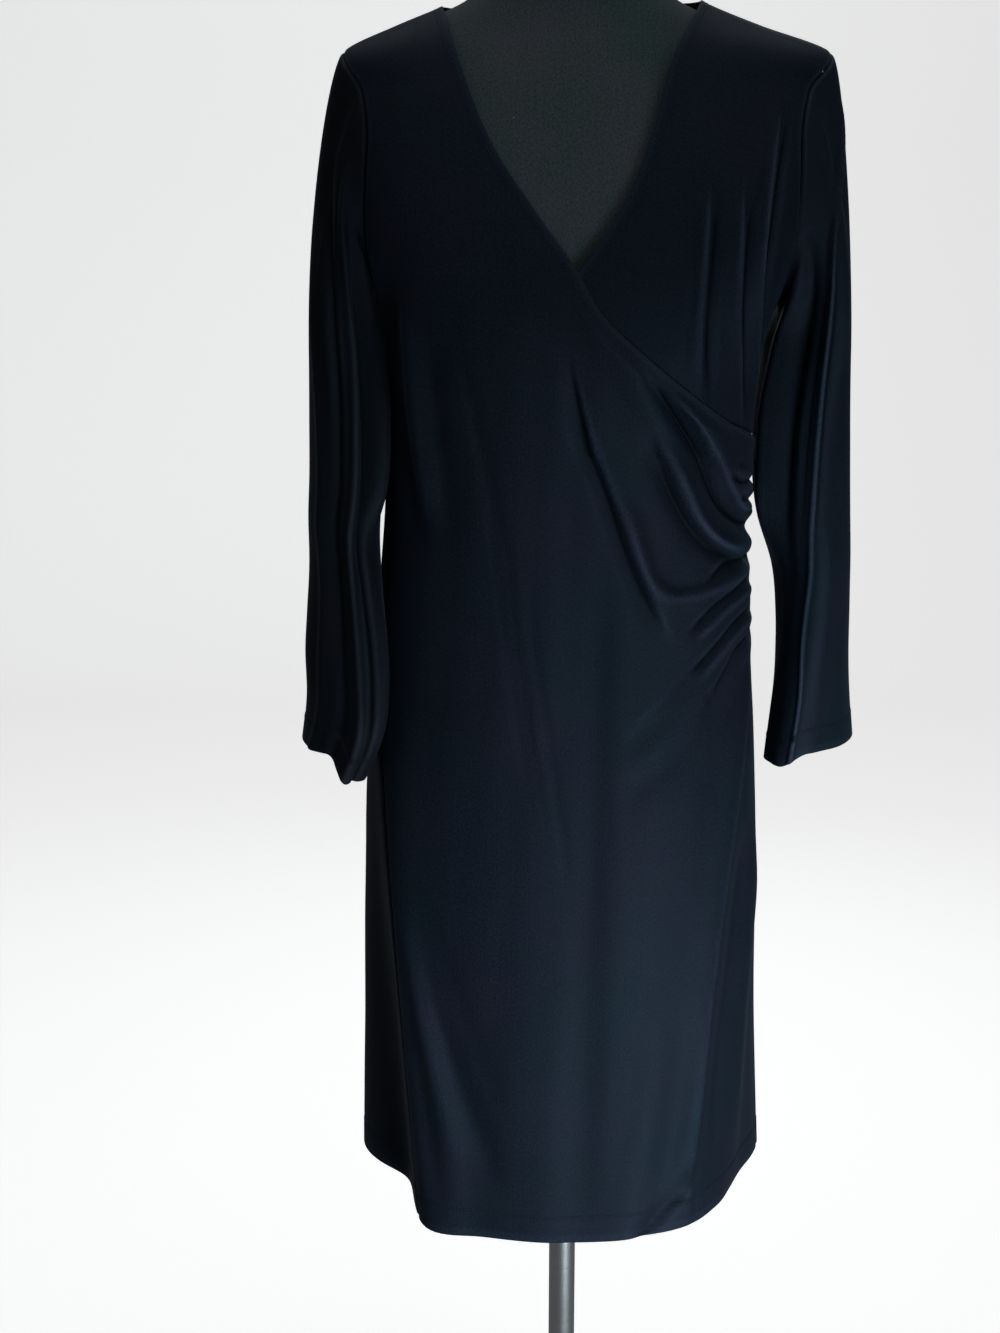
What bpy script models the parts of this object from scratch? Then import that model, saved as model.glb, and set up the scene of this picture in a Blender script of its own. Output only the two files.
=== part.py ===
"""A long-sleeved wrap dress of slinky knit, filled out by a limbless dress form on a round stand.

Units are metres, +Z is up, the dress faces -Y and the origin is the centre of the base's underside.
The wearer's left is +X. Angles run round the body in degrees: 0 is the wearer's left, 90 the front,
180 the wearer's right and 270 the back.
"""

from collections import namedtuple

import bmesh
import bpy
import numpy as np

# Cloth
CLOTH = 0.0014  # wall of the knit
SEAM = 0.0004  # gap between two pieces at a seam
LAP_LIFT = 0.0030  # how far the wrap's free edge stands off the bodice under it
LAP_DROP = 0.70  # the covered bodice lies this share of the way from the wrap down to the form
SEAM_DROP = 0.0022  # the same at its side seams, where both layers are sewn to the back
SEAM_CALM = 8.0  # degrees over which creases rise from nothing at a side seam

# Heights above the floor
HEM = 0.420
HEM_SIDE_RISE = 0.010
UNDERARM = 1.226
SHOULDER_TIP = 1.432
NECK_POINT_RIGHT = 1.467
NECK_POINT_LEFT = 1.472
WRAP_END = 1.098  # where the wrap's edge meets the wearer's left side seam
UNDER_HEM = 1.040  # lower edge of the bodice under the wrap
GATHER_END = 0.925

ARMHOLE_FRONT = 0.062  # how far the armhole reaches forward of the shoulder line
ARMHOLE_BACK = 0.056
UNDERARM_REACH = 0.011  # pull of the sleeve away from the underarm before it turns down
UNDERARM_RISE = 0.010  # pull of the hanging tube up to the underarm, and up to the shoulder
SHOULDER_RISE = 0.120
BACK_NECK_REACH = 0.070  # how far the back neck curves behind the shoulder line

# Dress form and stand
FORM_BOTTOM = 0.720
FORM_TOP = 1.560
CAP_HEIGHT = 0.016
CAP_RADIUS = 0.050
POLE_RADIUS = 0.0125
COLLAR_RADIUS = 0.045
COLLAR_HEIGHT = 0.055
BASE_RADIUS = 0.185
BASE_THICKNESS = 0.012
HUB_RADIUS = 0.030
HUB_HEIGHT = 0.050

# Cuts across the worn dress: half widths to the wearer's left and right, reach to the front and back,
# squareness of the outline (2 is an ellipse), and the room between the cloth and the form.
Section = namedtuple("Section", "height left right front back square ease")
SECTIONS = (
    Section(0.410, 0.187, 0.191, 0.166, 0.128, 2.2, 0.014),
    Section(0.580, 0.178, 0.188, 0.148, 0.129, 2.2, 0.014),
    Section(0.700, 0.175, 0.186, 0.138, 0.130, 2.2, 0.014),
    Section(0.785, 0.172, 0.183, 0.130, 0.127, 2.2, 0.012),
    Section(0.850, 0.169, 0.179, 0.124, 0.118, 2.2, 0.013),
    Section(0.920, 0.164, 0.171, 0.119, 0.103, 2.2, 0.017),
    Section(1.000, 0.160, 0.164, 0.116, 0.091, 2.3, 0.022),
    Section(1.050, 0.158, 0.160, 0.118, 0.091, 2.3, 0.022),
    Section(1.100, 0.157, 0.158, 0.123, 0.096, 2.4, 0.019),
    Section(1.150, 0.160, 0.158, 0.129, 0.103, 2.5, 0.015),
    Section(1.200, 0.167, 0.161, 0.132, 0.109, 2.6, 0.010),
    Section(1.240, 0.180, 0.168, 0.129, 0.112, 2.7, 0.007),
    Section(1.280, 0.193, 0.178, 0.121, 0.113, 2.8, 0.005),
    Section(1.320, 0.203, 0.185, 0.109, 0.112, 2.8, 0.004),
    Section(1.360, 0.211, 0.190, 0.095, 0.106, 2.7, 0.0045),
    Section(1.400, 0.216, 0.193, 0.080, 0.097, 2.5, 0.0060),
    Section(1.433, 0.212, 0.188, 0.066, 0.085, 2.3, 0.0090),
    Section(1.452, 0.157, 0.147, 0.058, 0.075, 2.2, 0.0105),
    Section(1.472, 0.107, 0.098, 0.050, 0.064, 2.2, 0.0080),
    Section(1.500, 0.070, 0.070, 0.044, 0.056, 2.1, 0.0030),
    Section(1.525, 0.060, 0.060, 0.043, 0.054, 2.0, 0.002),
    Section(1.565, 0.057, 0.057, 0.043, 0.054, 2.0, 0.002),
)

# Long hanging folds that bend the whole outline of the skirt, front and back together. Each fades to
# nothing at its top height. Angles and half width are in degrees.
Drape = namedtuple("Drape", "name hem_angle top_angle width rise top")
DRAPES = (
    Drape("right edge of the front", 128, 166, 9, 0.016, 1.00),
    Drape("hollow behind that edge", 156, 180, 16, -0.034, 1.00),
    Drape("hollow under the gathers", 22, 10, 20, -0.022, 0.95),
    Drape("back fold, wearer's right", 222, 212, 11, 0.010, 0.90),
    Drape("back hollow, wearer's right", 246, 240, 10, -0.009, 0.84),
    Drape("back fold, middle", 268, 270, 10, 0.008, 0.80),
    Drape("back hollow, wearer's left", 290, 296, 10, -0.010, 0.84),
    Drape("back fold, wearer's left", 314, 326, 11, 0.009, 0.90),
)

# The wearer's right side seam, which lies just behind the edge that the front hangs from.
Seam = namedtuple("Seam", "height angle")
RIGHT_SEAM = (
    Seam(HEM - 0.02, 135),
    Seam(0.580, 144),
    Seam(0.720, 151),
    Seam(0.820, 157),
    Seam(0.920, 165),
    Seam(1.000, 171),
    Seam(UNDERARM, 180),
)

# Edges of the V neck and of the wrap as seen from the front: distance from the middle at each height.
Edge = namedtuple("Edge", "height x")
WRAP_EDGE = (
    Edge(NECK_POINT_RIGHT, -0.107),
    Edge(1.423, -0.093),
    Edge(1.355, -0.065),
    Edge(1.295, -0.025),
    Edge(1.257, 0.002),
    Edge(1.224, 0.022),
    Edge(1.188, 0.061),
    Edge(1.134, 0.127),
    Edge(1.116, 0.150),
    Edge(WRAP_END, 0.158),
    Edge(1.000, 0.310),
)
UNDER_EDGE = (
    Edge(NECK_POINT_LEFT, 0.106),
    Edge(1.434, 0.084),
    Edge(1.358, 0.060),
    Edge(1.313, 0.041),
    Edge(1.257, 0.002),
    Edge(1.188, -0.058),
    Edge(1.112, -0.159),
    Edge(1.000, -0.290),
)

# Creases of the front, as routes seen from the front: rise is out of the cloth, width is half the
# crease. Routes that reach the side seam run past it.
Crease = namedtuple("Crease", "name rise width route")
WRAP_CREASES = (
    Crease(
        "first valley", -0.009, 0.012,
        ((0.062, 1.168), (0.105, 1.112), (0.130, 1.075), (0.180, 1.052)),
    ),
    Crease(
        "roll over the first", 0.005, 0.009,
        ((0.090, 1.160), (0.122, 1.118), (0.146, 1.094), (0.180, 1.086)),
    ),
    Crease(
        "second roll", 0.006, 0.009,
        ((0.078, 1.095), (0.105, 1.052), (0.130, 1.038), (0.180, 1.033)),
    ),
    Crease(
        "second valley", -0.008, 0.008,
        ((0.062, 1.090), (0.084, 1.045), (0.120, 1.022), (0.180, 1.014)),
    ),
    Crease(
        "long valley", -0.008, 0.012,
        ((0.000, 1.165), (0.018, 1.095), (0.046, 1.015), (0.085, 0.935)),
    ),
    Crease("roll beside it", 0.005, 0.010, ((0.028, 1.150), (0.050, 1.060), (0.078, 0.990))),
    Crease(
        "third roll", 0.005, 0.010,
        ((0.058, 1.035), (0.076, 0.990), (0.110, 0.982), (0.180, 1.000)),
    ),
    Crease(
        "third valley", -0.005, 0.008,
        ((0.108, 0.958), (0.125, 0.972), (0.150, 0.984), (0.180, 0.988)),
    ),
    Crease(
        "fourth roll", 0.004, 0.008,
        ((0.108, 0.944), (0.126, 0.957), (0.150, 0.968), (0.180, 0.972)),
    ),
    Crease(
        "fourth valley", -0.005, 0.008,
        ((0.108, 0.925), (0.128, 0.940), (0.150, 0.952), (0.180, 0.956)),
    ),
    Crease(
        "fifth roll", 0.004, 0.008,
        ((0.110, 0.905), (0.130, 0.924), (0.150, 0.936), (0.180, 0.940)),
    ),
    Crease(
        "fifth valley", -0.005, 0.009,
        ((0.112, 0.880), (0.132, 0.904), (0.150, 0.919), (0.180, 0.924)),
    ),
    Crease("upper slack fold", -0.003, 0.011, ((0.060, 0.850), (0.085, 0.880), (0.110, 0.910))),
    Crease("lower slack fold", -0.003, 0.012, ((0.060, 0.810), (0.085, 0.832), (0.112, 0.858))),
    Crease(
        "hanging ridge", 0.008, 0.013,
        ((0.160, 0.930), (0.150, 0.800), (0.128, 0.620), (0.112, 0.480), (0.106, 0.380)),
    ),
    Crease(
        "hanging valley", -0.006, 0.012,
        ((0.170, 0.860), (0.158, 0.760), (0.146, 0.620), (0.136, 0.480), (0.132, 0.380)),
    ),
    Crease("valley above the hem", -0.005, 0.014, ((0.108, 0.540), (0.092, 0.475), (0.072, 0.390))),
    Crease(
        "middle hollow", -0.003, 0.026,
        ((0.020, 0.980), (0.020, 0.760), (0.008, 0.580), (0.012, 0.380)),
    ),
    Crease(
        "armhole valley", -0.006, 0.011,
        ((-0.152, 1.290), (-0.148, 1.200), (-0.140, 1.110), (-0.132, 1.010)),
    ),
    Crease("armhole ridge", 0.005, 0.011, ((-0.134, 1.240), (-0.128, 1.150), (-0.122, 1.060))),
    Crease(
        "right drape, inner", -0.004, 0.015,
        ((-0.142, 0.700), (-0.122, 0.600), (-0.098, 0.510), (-0.072, 0.430)),
    ),
    Crease(
        "right drape, outer", 0.004, 0.015,
        ((-0.150, 0.680), (-0.128, 0.560), (-0.112, 0.480), (-0.100, 0.380)),
    ),
    Crease(
        "long slack line", -0.002, 0.009,
        ((-0.095, 1.220), (-0.068, 1.070), (-0.048, 0.880), (-0.022, 0.730)),
    ),
)
UNDER_CREASES = (
    Crease(
        "inner ridge", 0.003, 0.008,
        ((0.118, 1.330), (0.112, 1.260), (0.110, 1.190), (0.108, 1.120)),
    ),
    Crease(
        "middle valley", -0.003, 0.007,
        ((0.134, 1.320), (0.129, 1.240), (0.126, 1.170), (0.126, 1.110)),
    ),
    Crease(
        "outer ridge", 0.004, 0.008,
        ((0.150, 1.340), (0.145, 1.260), (0.142, 1.180), (0.140, 1.110)),
    ),
    Crease(
        "armhole ridge", 0.004, 0.009,
        ((0.184, 1.350), (0.169, 1.280), (0.157, 1.215), (0.150, 1.140)),
    ),
)
BACK_CREASES = (
    Crease(
        "blade fold, wearer's right", -0.004, 0.011,
        ((-0.150, 1.300), (-0.132, 1.200), (-0.112, 1.090), (-0.100, 1.000)),
    ),
    Crease(
        "blade fold, wearer's left", -0.004, 0.011,
        ((0.158, 1.290), (0.138, 1.190), (0.120, 1.100), (0.104, 1.020)),
    ),
    Crease(
        "swag over the waist", 0.003, 0.012,
        ((-0.120, 1.080), (-0.040, 1.052), (0.050, 1.050), (0.130, 1.085)),
    ),
    Crease(
        "swag under the waist", 0.003, 0.012,
        ((-0.125, 1.010), (-0.040, 0.975), (0.050, 0.978), (0.130, 1.020)),
    ),
    Crease(
        "slack line, wearer's right", -0.003, 0.010,
        ((-0.060, 1.240), (-0.052, 1.150), (-0.048, 1.070)),
    ),
)

# Sleeves: middle of the flattened tube, half its length and thickness across, and the direction of
# the length. That angle is 0 outward from the body, 90 to the front and 180 towards the body.
Cut = namedtuple("Cut", "height x y length thickness turn")
Fold = namedtuple("Fold", "name armhole_turn cuff_turn width rise")
Sleeve = namedtuple("Sleeve", "name side cap_reach cuff_drop cuts folds")
SLEEVES = (
    Sleeve(
        "sleeve_right",
        side=-1,
        cap_reach=0.016,
        cuff_drop=0.034,
        cuts=(
            Cut(0.847, -0.2085, -0.030, 0.060, 0.0220, 104),
            Cut(0.920, -0.2053, -0.028, 0.061, 0.0235, 102),
            Cut(1.000, -0.1982, -0.024, 0.061, 0.0287, 99),
            Cut(1.050, -0.1970, -0.018, 0.061, 0.0290, 92),
            Cut(1.080, -0.1935, -0.010, 0.060, 0.0305, 82),
            Cut(1.130, -0.1922, -0.005, 0.059, 0.0294, 77),
            Cut(1.190, -0.1928, -0.004, 0.058, 0.0258, 78),
        ),
        folds=(
            Fold("inner ridge", 104, 106, 12, 0.003),
            Fold("front valley", 72, 76, 11, -0.010),
            Fold("outer ridge", 40, 44, 14, 0.004),
            Fold("back valley", 300, 292, 16, -0.007),
        ),
    ),
    Sleeve(
        "sleeve_left",
        side=1,
        cap_reach=0.014,
        cuff_drop=0.018,
        cuts=(
            Cut(0.842, 0.2203, 0.004, 0.058, 0.0334, 121),
            Cut(0.920, 0.2185, 0.002, 0.057, 0.0315, 102),
            Cut(0.960, 0.2170, 0.002, 0.056, 0.0310, 96),
            Cut(1.000, 0.2120, 0.002, 0.057, 0.0338, 88),
            Cut(1.045, 0.2050, 0.002, 0.057, 0.0388, 80),
            Cut(1.120, 0.2030, 0.002, 0.058, 0.0372, 74),
            Cut(1.190, 0.2058, 0.002, 0.060, 0.0284, 70),
        ),
        folds=(
            Fold("crease down the front", 46, 118, 11, 0.006),
            Fold("valley outside it", 18, 82, 14, -0.006),
            Fold("valley inside it", 80, 152, 14, -0.006),
            Fold("back valley", 292, 286, 16, -0.007),
        ),
    ),
)

# Rows of each panel's grid, and where its two long edges have got to at the end of each stretch.
# crowding is 1 for even rows, more for closer rows at the start and negative for closer at the end.
Stretch = namedtuple("Stretch", "name rows right_end left_end crowding")
WRAP_ROWS = (
    Stretch("shoulder to underarm", 10, UNDERARM, 1.246, 1.7),
    Stretch("along the wrap's edge", 11, 1.118, WRAP_END, -1.5),
    Stretch("gathers", 22, 0.820, GATHER_END, 1),
    Stretch("skirt", 12, None, None, 1),
)
UNDER_ROWS = (
    Stretch("shoulder to underarm", 10, 1.246, UNDERARM, 1.7),
    Stretch("under the wrap", 9, 1.112, WRAP_END, 1),
    Stretch("lower band", 3, UNDER_HEM, UNDER_HEM, 1),
)
BACK_ROWS = (
    Stretch("shoulder to underarm", 10, UNDERARM, UNDERARM, 1.7),
    Stretch("bodice", 9, 0.980, 0.980, 1),
    Stretch("skirt", 11, None, None, 1),
)
WRAP_COLUMNS = 26
GATHER_CROWDING = 0.45  # how much closer the wrap's columns lie at the gathered side
UNDER_COLUMNS = 13
BACK_COLUMNS = 20
BACK_SHOULDER_COLUMNS = 5
CAP_CROWDING = 1.6  # how much closer the sleeve's rows lie at the armhole
CAP_ROWS = 7  # sleeve rows between the armhole and the tube
TUBE_ROWS = 10
FORM_SIDES = 28


def flowing(knots, values, at):
    """A cubic through the values, whose slope at each knot follows its neighbours."""
    knots = np.asarray(knots, float)
    values = np.asarray(values, float)
    slopes = np.gradient(values, knots)
    at = np.clip(at, knots[0], knots[-1])
    low = np.clip(np.searchsorted(knots, at) - 1, 0, len(knots) - 2)
    step = knots[low + 1] - knots[low]
    t = (at - knots[low]) / step
    start = (1 + 2 * t) * (1 - t) ** 2 * values[low] + t * (1 - t) ** 2 * step * slopes[low]
    end = t**2 * (3 - 2 * t) * values[low + 1] + t**2 * (t - 1) * step * slopes[low + 1]
    return start + end


def column(table, name, height):
    """One named column of a table of rows by height, read at any height."""
    rows = sorted(table, key=lambda row: row.height)
    return flowing([row.height for row in rows], [getattr(row, name) for row in rows], height)


def fade(value, start, end):
    """0 before start, 1 after end, and a smooth step between."""
    t = np.clip((value - start) / (end - start), 0, 1)
    return t * t * (3 - 2 * t)


def outline(angle, left, right, front, back, square):
    """Reach of a rounded section in each direction: four quarter superellipses joined."""
    cos = np.cos(np.radians(angle))
    sin = np.sin(np.radians(angle))
    across = np.abs(cos) / np.where(cos > 0, left, right)
    along = np.abs(sin) / np.where(sin > 0, front, back)
    return (across**square + along**square) ** (-1 / square)


def placed(reach, angle, height):
    cos = np.cos(np.radians(angle))
    sin = np.sin(np.radians(angle))
    return np.stack([reach * cos, -reach * sin, height + 0 * reach], axis=-1)


def body(angle, height):
    """The dress's inner surface before its creases: the section at that height, and the drapes."""
    angle, height = np.broadcast_arrays(np.asarray(angle, float), np.asarray(height, float))
    sizes = [column(SECTIONS, name, height) for name in ("left", "right", "front", "back", "square")]
    reach = outline(angle, *sizes)
    for drape in DRAPES:
        share = np.clip((drape.top - height) / (drape.top - HEM), 0, 1.03)
        middle = drape.top_angle + (drape.hem_angle - drape.top_angle) * share
        off = (angle - middle + 180) % 360 - 180
        reach = reach + drape.rise * share * np.exp(-((off / drape.width) ** 2))
    return placed(reach, angle, height)


def body_normal(angle, height):
    """Outward direction of the body surface, from its slopes round and up."""
    around = body(np.add(angle, 0.5), height) - body(np.add(angle, -0.5), height)
    up = body(angle, np.add(height, 0.002)) - body(angle, np.add(height, -0.002))
    normal = np.cross(up, around)
    return normal / np.linalg.norm(normal, axis=-1, keepdims=True)


def angle_at_x(x, height):
    """The angle on the front where the body reaches x at that height."""
    angles = np.linspace(180, 0, 721)
    return float(np.interp(x, body(angles, height)[:, 0], angles))


def angle_at_y(side, y, height):
    """The angle on one side (+1 wearer's left, -1 right) where the body reaches y at that height."""
    angles = np.linspace(80, -80, 721) if side > 0 else np.linspace(100, 260, 721)
    return float(np.interp(y, body(angles, height)[:, 1], angles))


def creased(creases, x, height):
    """Sum of the creases at points seen from the front: each is highest along its route."""
    total = np.zeros(np.shape(x))
    for crease in creases:
        route = np.array(crease.route)
        knots = np.arange(len(route))
        at = np.linspace(0, len(route) - 1, 6 * len(route))
        line = np.stack([flowing(knots, route[:, 0], at), flowing(knots, route[:, 1], at)], axis=-1)
        start, step = line[:-1], np.diff(line, axis=0)
        offset = np.stack([x, height], axis=-1)[..., None, :] - start
        t = np.clip((offset * step).sum(-1) / (step**2).sum(-1), 0, 1)
        gap = np.linalg.norm(offset - t[..., None] * step, axis=-1)
        nearest = gap.argmin(-1)[..., None]
        away = np.take_along_axis(gap, nearest, -1)[..., 0]
        along = (nearest[..., 0] + np.take_along_axis(t, nearest, -1)[..., 0]) / len(step)
        ends = fade(along, 0, 0.18) * fade(-along, -1, -0.82)
        total += crease.rise * ends * np.exp(-((away / crease.width) ** 2))
    return total


def wrap_rise(angle, height):
    """Creases of the wrap, and its free edge standing off the bodice that it crosses."""
    point = body(angle, height)
    inside = column(WRAP_EDGE, "x", height) - point[..., 0]
    lift = LAP_LIFT * fade(-height, -1.300, -1.262) * (1 - fade(inside, 0.010, 0.070))
    clear = fade(inside, 0.004, 0.036) * off_seams(angle, height)
    return lift + clear * creased(WRAP_CREASES, point[..., 0], height)


def under_rise(angle, height):
    """Creases of the bodice under the wrap, which lies nearer the form where it is covered."""
    point = body(angle, height)
    inside = column(WRAP_EDGE, "x", height) - point[..., 0]
    covered = fade(inside, 0.000, 0.034) * fade(-height, -1.262, -1.245)
    free = creased(UNDER_CREASES, point[..., 0], height) * (1 - fade(inside, -0.010, 0.020))
    calm = off_seams(angle, height)
    drop = LAP_DROP * column(SECTIONS, "ease", height) * calm + SEAM_DROP * (1 - calm)
    return free * calm - covered * drop


def back_rise(angle, height):
    return off_seams(angle, height) * creased(BACK_CREASES, body(angle, height)[..., 0], height)


def seam_angle(side, height):
    """Side seam: it hangs straight on the wearer's left and swings to the front on the right."""
    return 0.0 if side > 0 else column(RIGHT_SEAM, "angle", height)


def off_seams(angle, height):
    """0 at either side seam, rising to 1 away from it."""
    left = np.abs((angle + 180) % 360 - 180)
    right = np.abs(angle - seam_angle(-1, height))
    return fade(left, 0, SEAM_CALM) * fade(right, 0, SEAM_CALM)


def half_gap(height):
    """Half a seam's gap as an angle at the side of the body."""
    return np.degrees(0.5 * SEAM / column(SECTIONS, "right", height))


def hem_height(angle):
    return HEM + HEM_SIDE_RISE * np.cos(np.radians(angle)) ** 2


def armhole(side, turn):
    """(angle, height) on the armhole: turn 0 is the shoulder tip, 90 the front, 180 the underarm."""
    reach = ARMHOLE_FRONT if np.sin(np.radians(turn)) > 0 else ARMHOLE_BACK
    middle = (SHOULDER_TIP + UNDERARM) / 2
    height = middle + (SHOULDER_TIP - UNDERARM) / 2 * np.cos(np.radians(turn))
    return angle_at_y(side, -reach * np.sin(np.radians(turn)), height), height


def row_heights(side, top, stretches):
    """Heights of a grid's rows down one side."""
    heights = [top]
    for stretch in stretches:
        end = (stretch.left_end if side > 0 else stretch.right_end) or hem_height(seam_angle(side, HEM))
        share = np.linspace(0, 1, stretch.rows + 1)[1:]
        share = share**stretch.crowding if stretch.crowding > 0 else 1 - (1 - share) ** -stretch.crowding
        heights.extend(heights[-1] + (end - heights[-1]) * share)
    return heights


def side_edge(side, face, stretches):
    """A panel's edge down one side, armhole then side seam. face is +1 in front and -1 behind."""
    first = stretches[0].rows
    points = [armhole(side, turn * face) for turn in np.linspace(0, 180, first + 1)]
    heights = row_heights(side, SHOULDER_TIP, stretches)[first + 1 :]
    points += [(seam_angle(side, height), height) for height in heights]
    for row in [0, *range(first, len(points))]:
        angle, height = points[row]
        points[row] = (angle + side * face * half_gap(height), height)
    return np.array(points)


def free_edge(side, table, top, stretches):
    """A front's edge down the V neck and the wrap, then down the side seam that it crosses to."""
    shoulder = 180 - half_gap(top) if side > 0 else half_gap(top)
    points = [(shoulder, top)]
    for height in row_heights(side, top, stretches)[1:]:
        seam = seam_angle(side, height) + side * half_gap(height)
        free = angle_at_x(column(table, "x", height), height)
        crossing = max(free, seam) if side > 0 else min(free, seam)
        points.append((seam if height <= WRAP_END else crossing, height))
    return np.array(points)


def between(right_edge, left_edge, columns, crowding=0):
    """(angle, height) grid whose rows run straight from one edge to the other."""
    share = np.linspace(0, 1, columns + 1)[None, :, None]
    share = share * (1 + crowding * (1 - share))
    return right_edge[:, None] * (1 - share) + left_edge[:, None] * share


def hemmed(grid, rows):
    """The grid with its last rows eased down or up until the lowest follows the hem."""
    share = np.linspace(0, 1, rows + 1)[:, None]
    low = grid[-1]
    grid[-rows - 1 :, :, 1] += share * (hem_height(low[:, 0]) - low[:, 1])
    return grid


def back_neck():
    """(angle, height) along the back neck, an oval seen from above that lies on the body."""
    angles = np.linspace(180, 360, BACK_COLUMNS - 2 * BACK_SHOULDER_COLUMNS + 1)
    right = np.linalg.norm(body(180, NECK_POINT_RIGHT)[:2])
    left = np.linalg.norm(body(0, NECK_POINT_LEFT)[:2])
    reach = outline(angles, left, right, BACK_NECK_REACH, BACK_NECK_REACH, 2)
    heights = np.linspace(1.50, SHOULDER_TIP, 137)
    found = []
    for angle, wanted in zip(angles, reach):
        size = np.linalg.norm(body(angle, heights)[:, :2], axis=1)
        found.append((angle, np.interp(wanted, size, heights)))
    return np.array(found)


def back_grid():
    """The back's grid: its top row follows the shoulder seams and the neck, the rest run straight."""
    right_edge = side_edge(-1, -1, BACK_ROWS)
    left_edge = side_edge(1, -1, BACK_ROWS) + np.array([360, 0])
    grid = hemmed(between(right_edge, left_edge, BACK_COLUMNS), BACK_ROWS[-1].rows)
    neck = back_neck()
    neck[0] = right_edge[0, 0], NECK_POINT_RIGHT
    neck[-1] = left_edge[0, 0], NECK_POINT_LEFT
    right_seam = between(right_edge[:1], neck[:1], BACK_SHOULDER_COLUMNS)[0, :-1]
    left_seam = between(neck[-1:], left_edge[:1], BACK_SHOULDER_COLUMNS)[0, 1:]
    top = np.concatenate([right_seam, neck, left_seam])
    above = top - grid[0]
    for row in range(BACK_ROWS[0].rows):
        grid[row] += above * (1 - row / BACK_ROWS[0].rows) ** BACK_ROWS[0].crowding
    return grid


def mesh_object(name, points, faces, material):
    """A closed mesh with its faces turned outward."""
    mesh = bpy.data.meshes.new(name)
    mesh.from_pydata([tuple(p) for p in points], [], faces)
    shape = bmesh.new()
    shape.from_mesh(mesh)
    bmesh.ops.recalc_face_normals(shape, faces=shape.faces)
    shape.to_mesh(mesh)
    shape.free()
    mesh.shade_smooth()
    mesh.set_sharp_from_angle(angle=np.radians(75))
    mesh.materials.append(material)
    piece = bpy.data.objects.new(name, mesh)
    bpy.context.scene.collection.objects.link(piece)
    return piece


def wall(name, inside, outside, material, tube=False):
    """The closed solid between two grids of points, open along its long edges or joined as a tube."""
    rows, columns = inside.shape[:2]
    index = np.arange(rows * columns).reshape(rows, columns)
    if tube:
        index = np.hstack([index, index[:, :1]])
    far = index + rows * columns
    faces = []
    for i in range(index.shape[0] - 1):
        for j in range(index.shape[1] - 1):
            near_quad = [index[i, j], index[i + 1, j], index[i + 1, j + 1], index[i, j + 1]]
            faces.append([int(v) for v in near_quad])
            faces.append([int(v) + rows * columns for v in reversed(near_quad)])
    rims = [(index[0], far[0]), (index[-1][::-1], far[-1][::-1])]
    if not tube:
        rims += [(index[::-1, 0], far[::-1, 0]), (index[:, -1], far[:, -1])]
    for near_line, far_line in rims:
        for k in range(len(near_line) - 1):
            quad = [near_line[k], near_line[k + 1], far_line[k + 1], far_line[k]]
            faces.append([int(v) for v in quad])
    points = np.concatenate([inside.reshape(-1, 3), outside.reshape(-1, 3)])
    return mesh_object(name, points, faces, material)


def panel(name, grid, rise, material):
    """A piece of cloth over a grid of (angle, height), raised by its creases."""
    angle, height = grid[..., 0], grid[..., 1]
    normal = body_normal(angle, height)
    inside = body(angle, height) + normal * rise(angle, height)[..., None]
    return wall(name, inside, inside + normal * CLOTH, material)


def sleeve_ring(plan, turns, height):
    """One ring of the hanging tube: an oval with its folds, lower on the side towards the body."""
    x, y, length, thickness, turn = (column(plan.cuts, key, height) for key in Cut._fields[1:])
    away = np.radians(turns - turn)
    lie = np.radians(turn)
    along = np.array([plan.side * np.cos(lie), -np.sin(lie), 0])
    across = np.array([-plan.side * np.sin(lie), -np.cos(lie), 0])
    oval = np.outer(length * np.cos(away), along) + np.outer(thickness * np.sin(away), across)
    share = (SHOULDER_TIP - height) / (SHOULDER_TIP - plan.cuts[0].height)
    rise = 0
    for fold in plan.folds:
        middle = fold.armhole_turn + (fold.cuff_turn - fold.armhole_turn) * share
        off = (turns - middle + 180) % 360 - 180
        rise = rise + fold.rise * np.exp(-((off / fold.width) ** 2))
    oval *= 1 + rise[:, None] / np.linalg.norm(oval, axis=1, keepdims=True)
    top = plan.cuts[-1].height
    lowered = (top - height) / (top - plan.cuts[0].height) * plan.cuff_drop
    inner = fade(-np.cos(np.radians(turns)), -0.45, 0.25)
    return oval + np.stack([x + 0 * turns, y + 0 * turns, height - lowered * inner], axis=-1)


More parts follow.
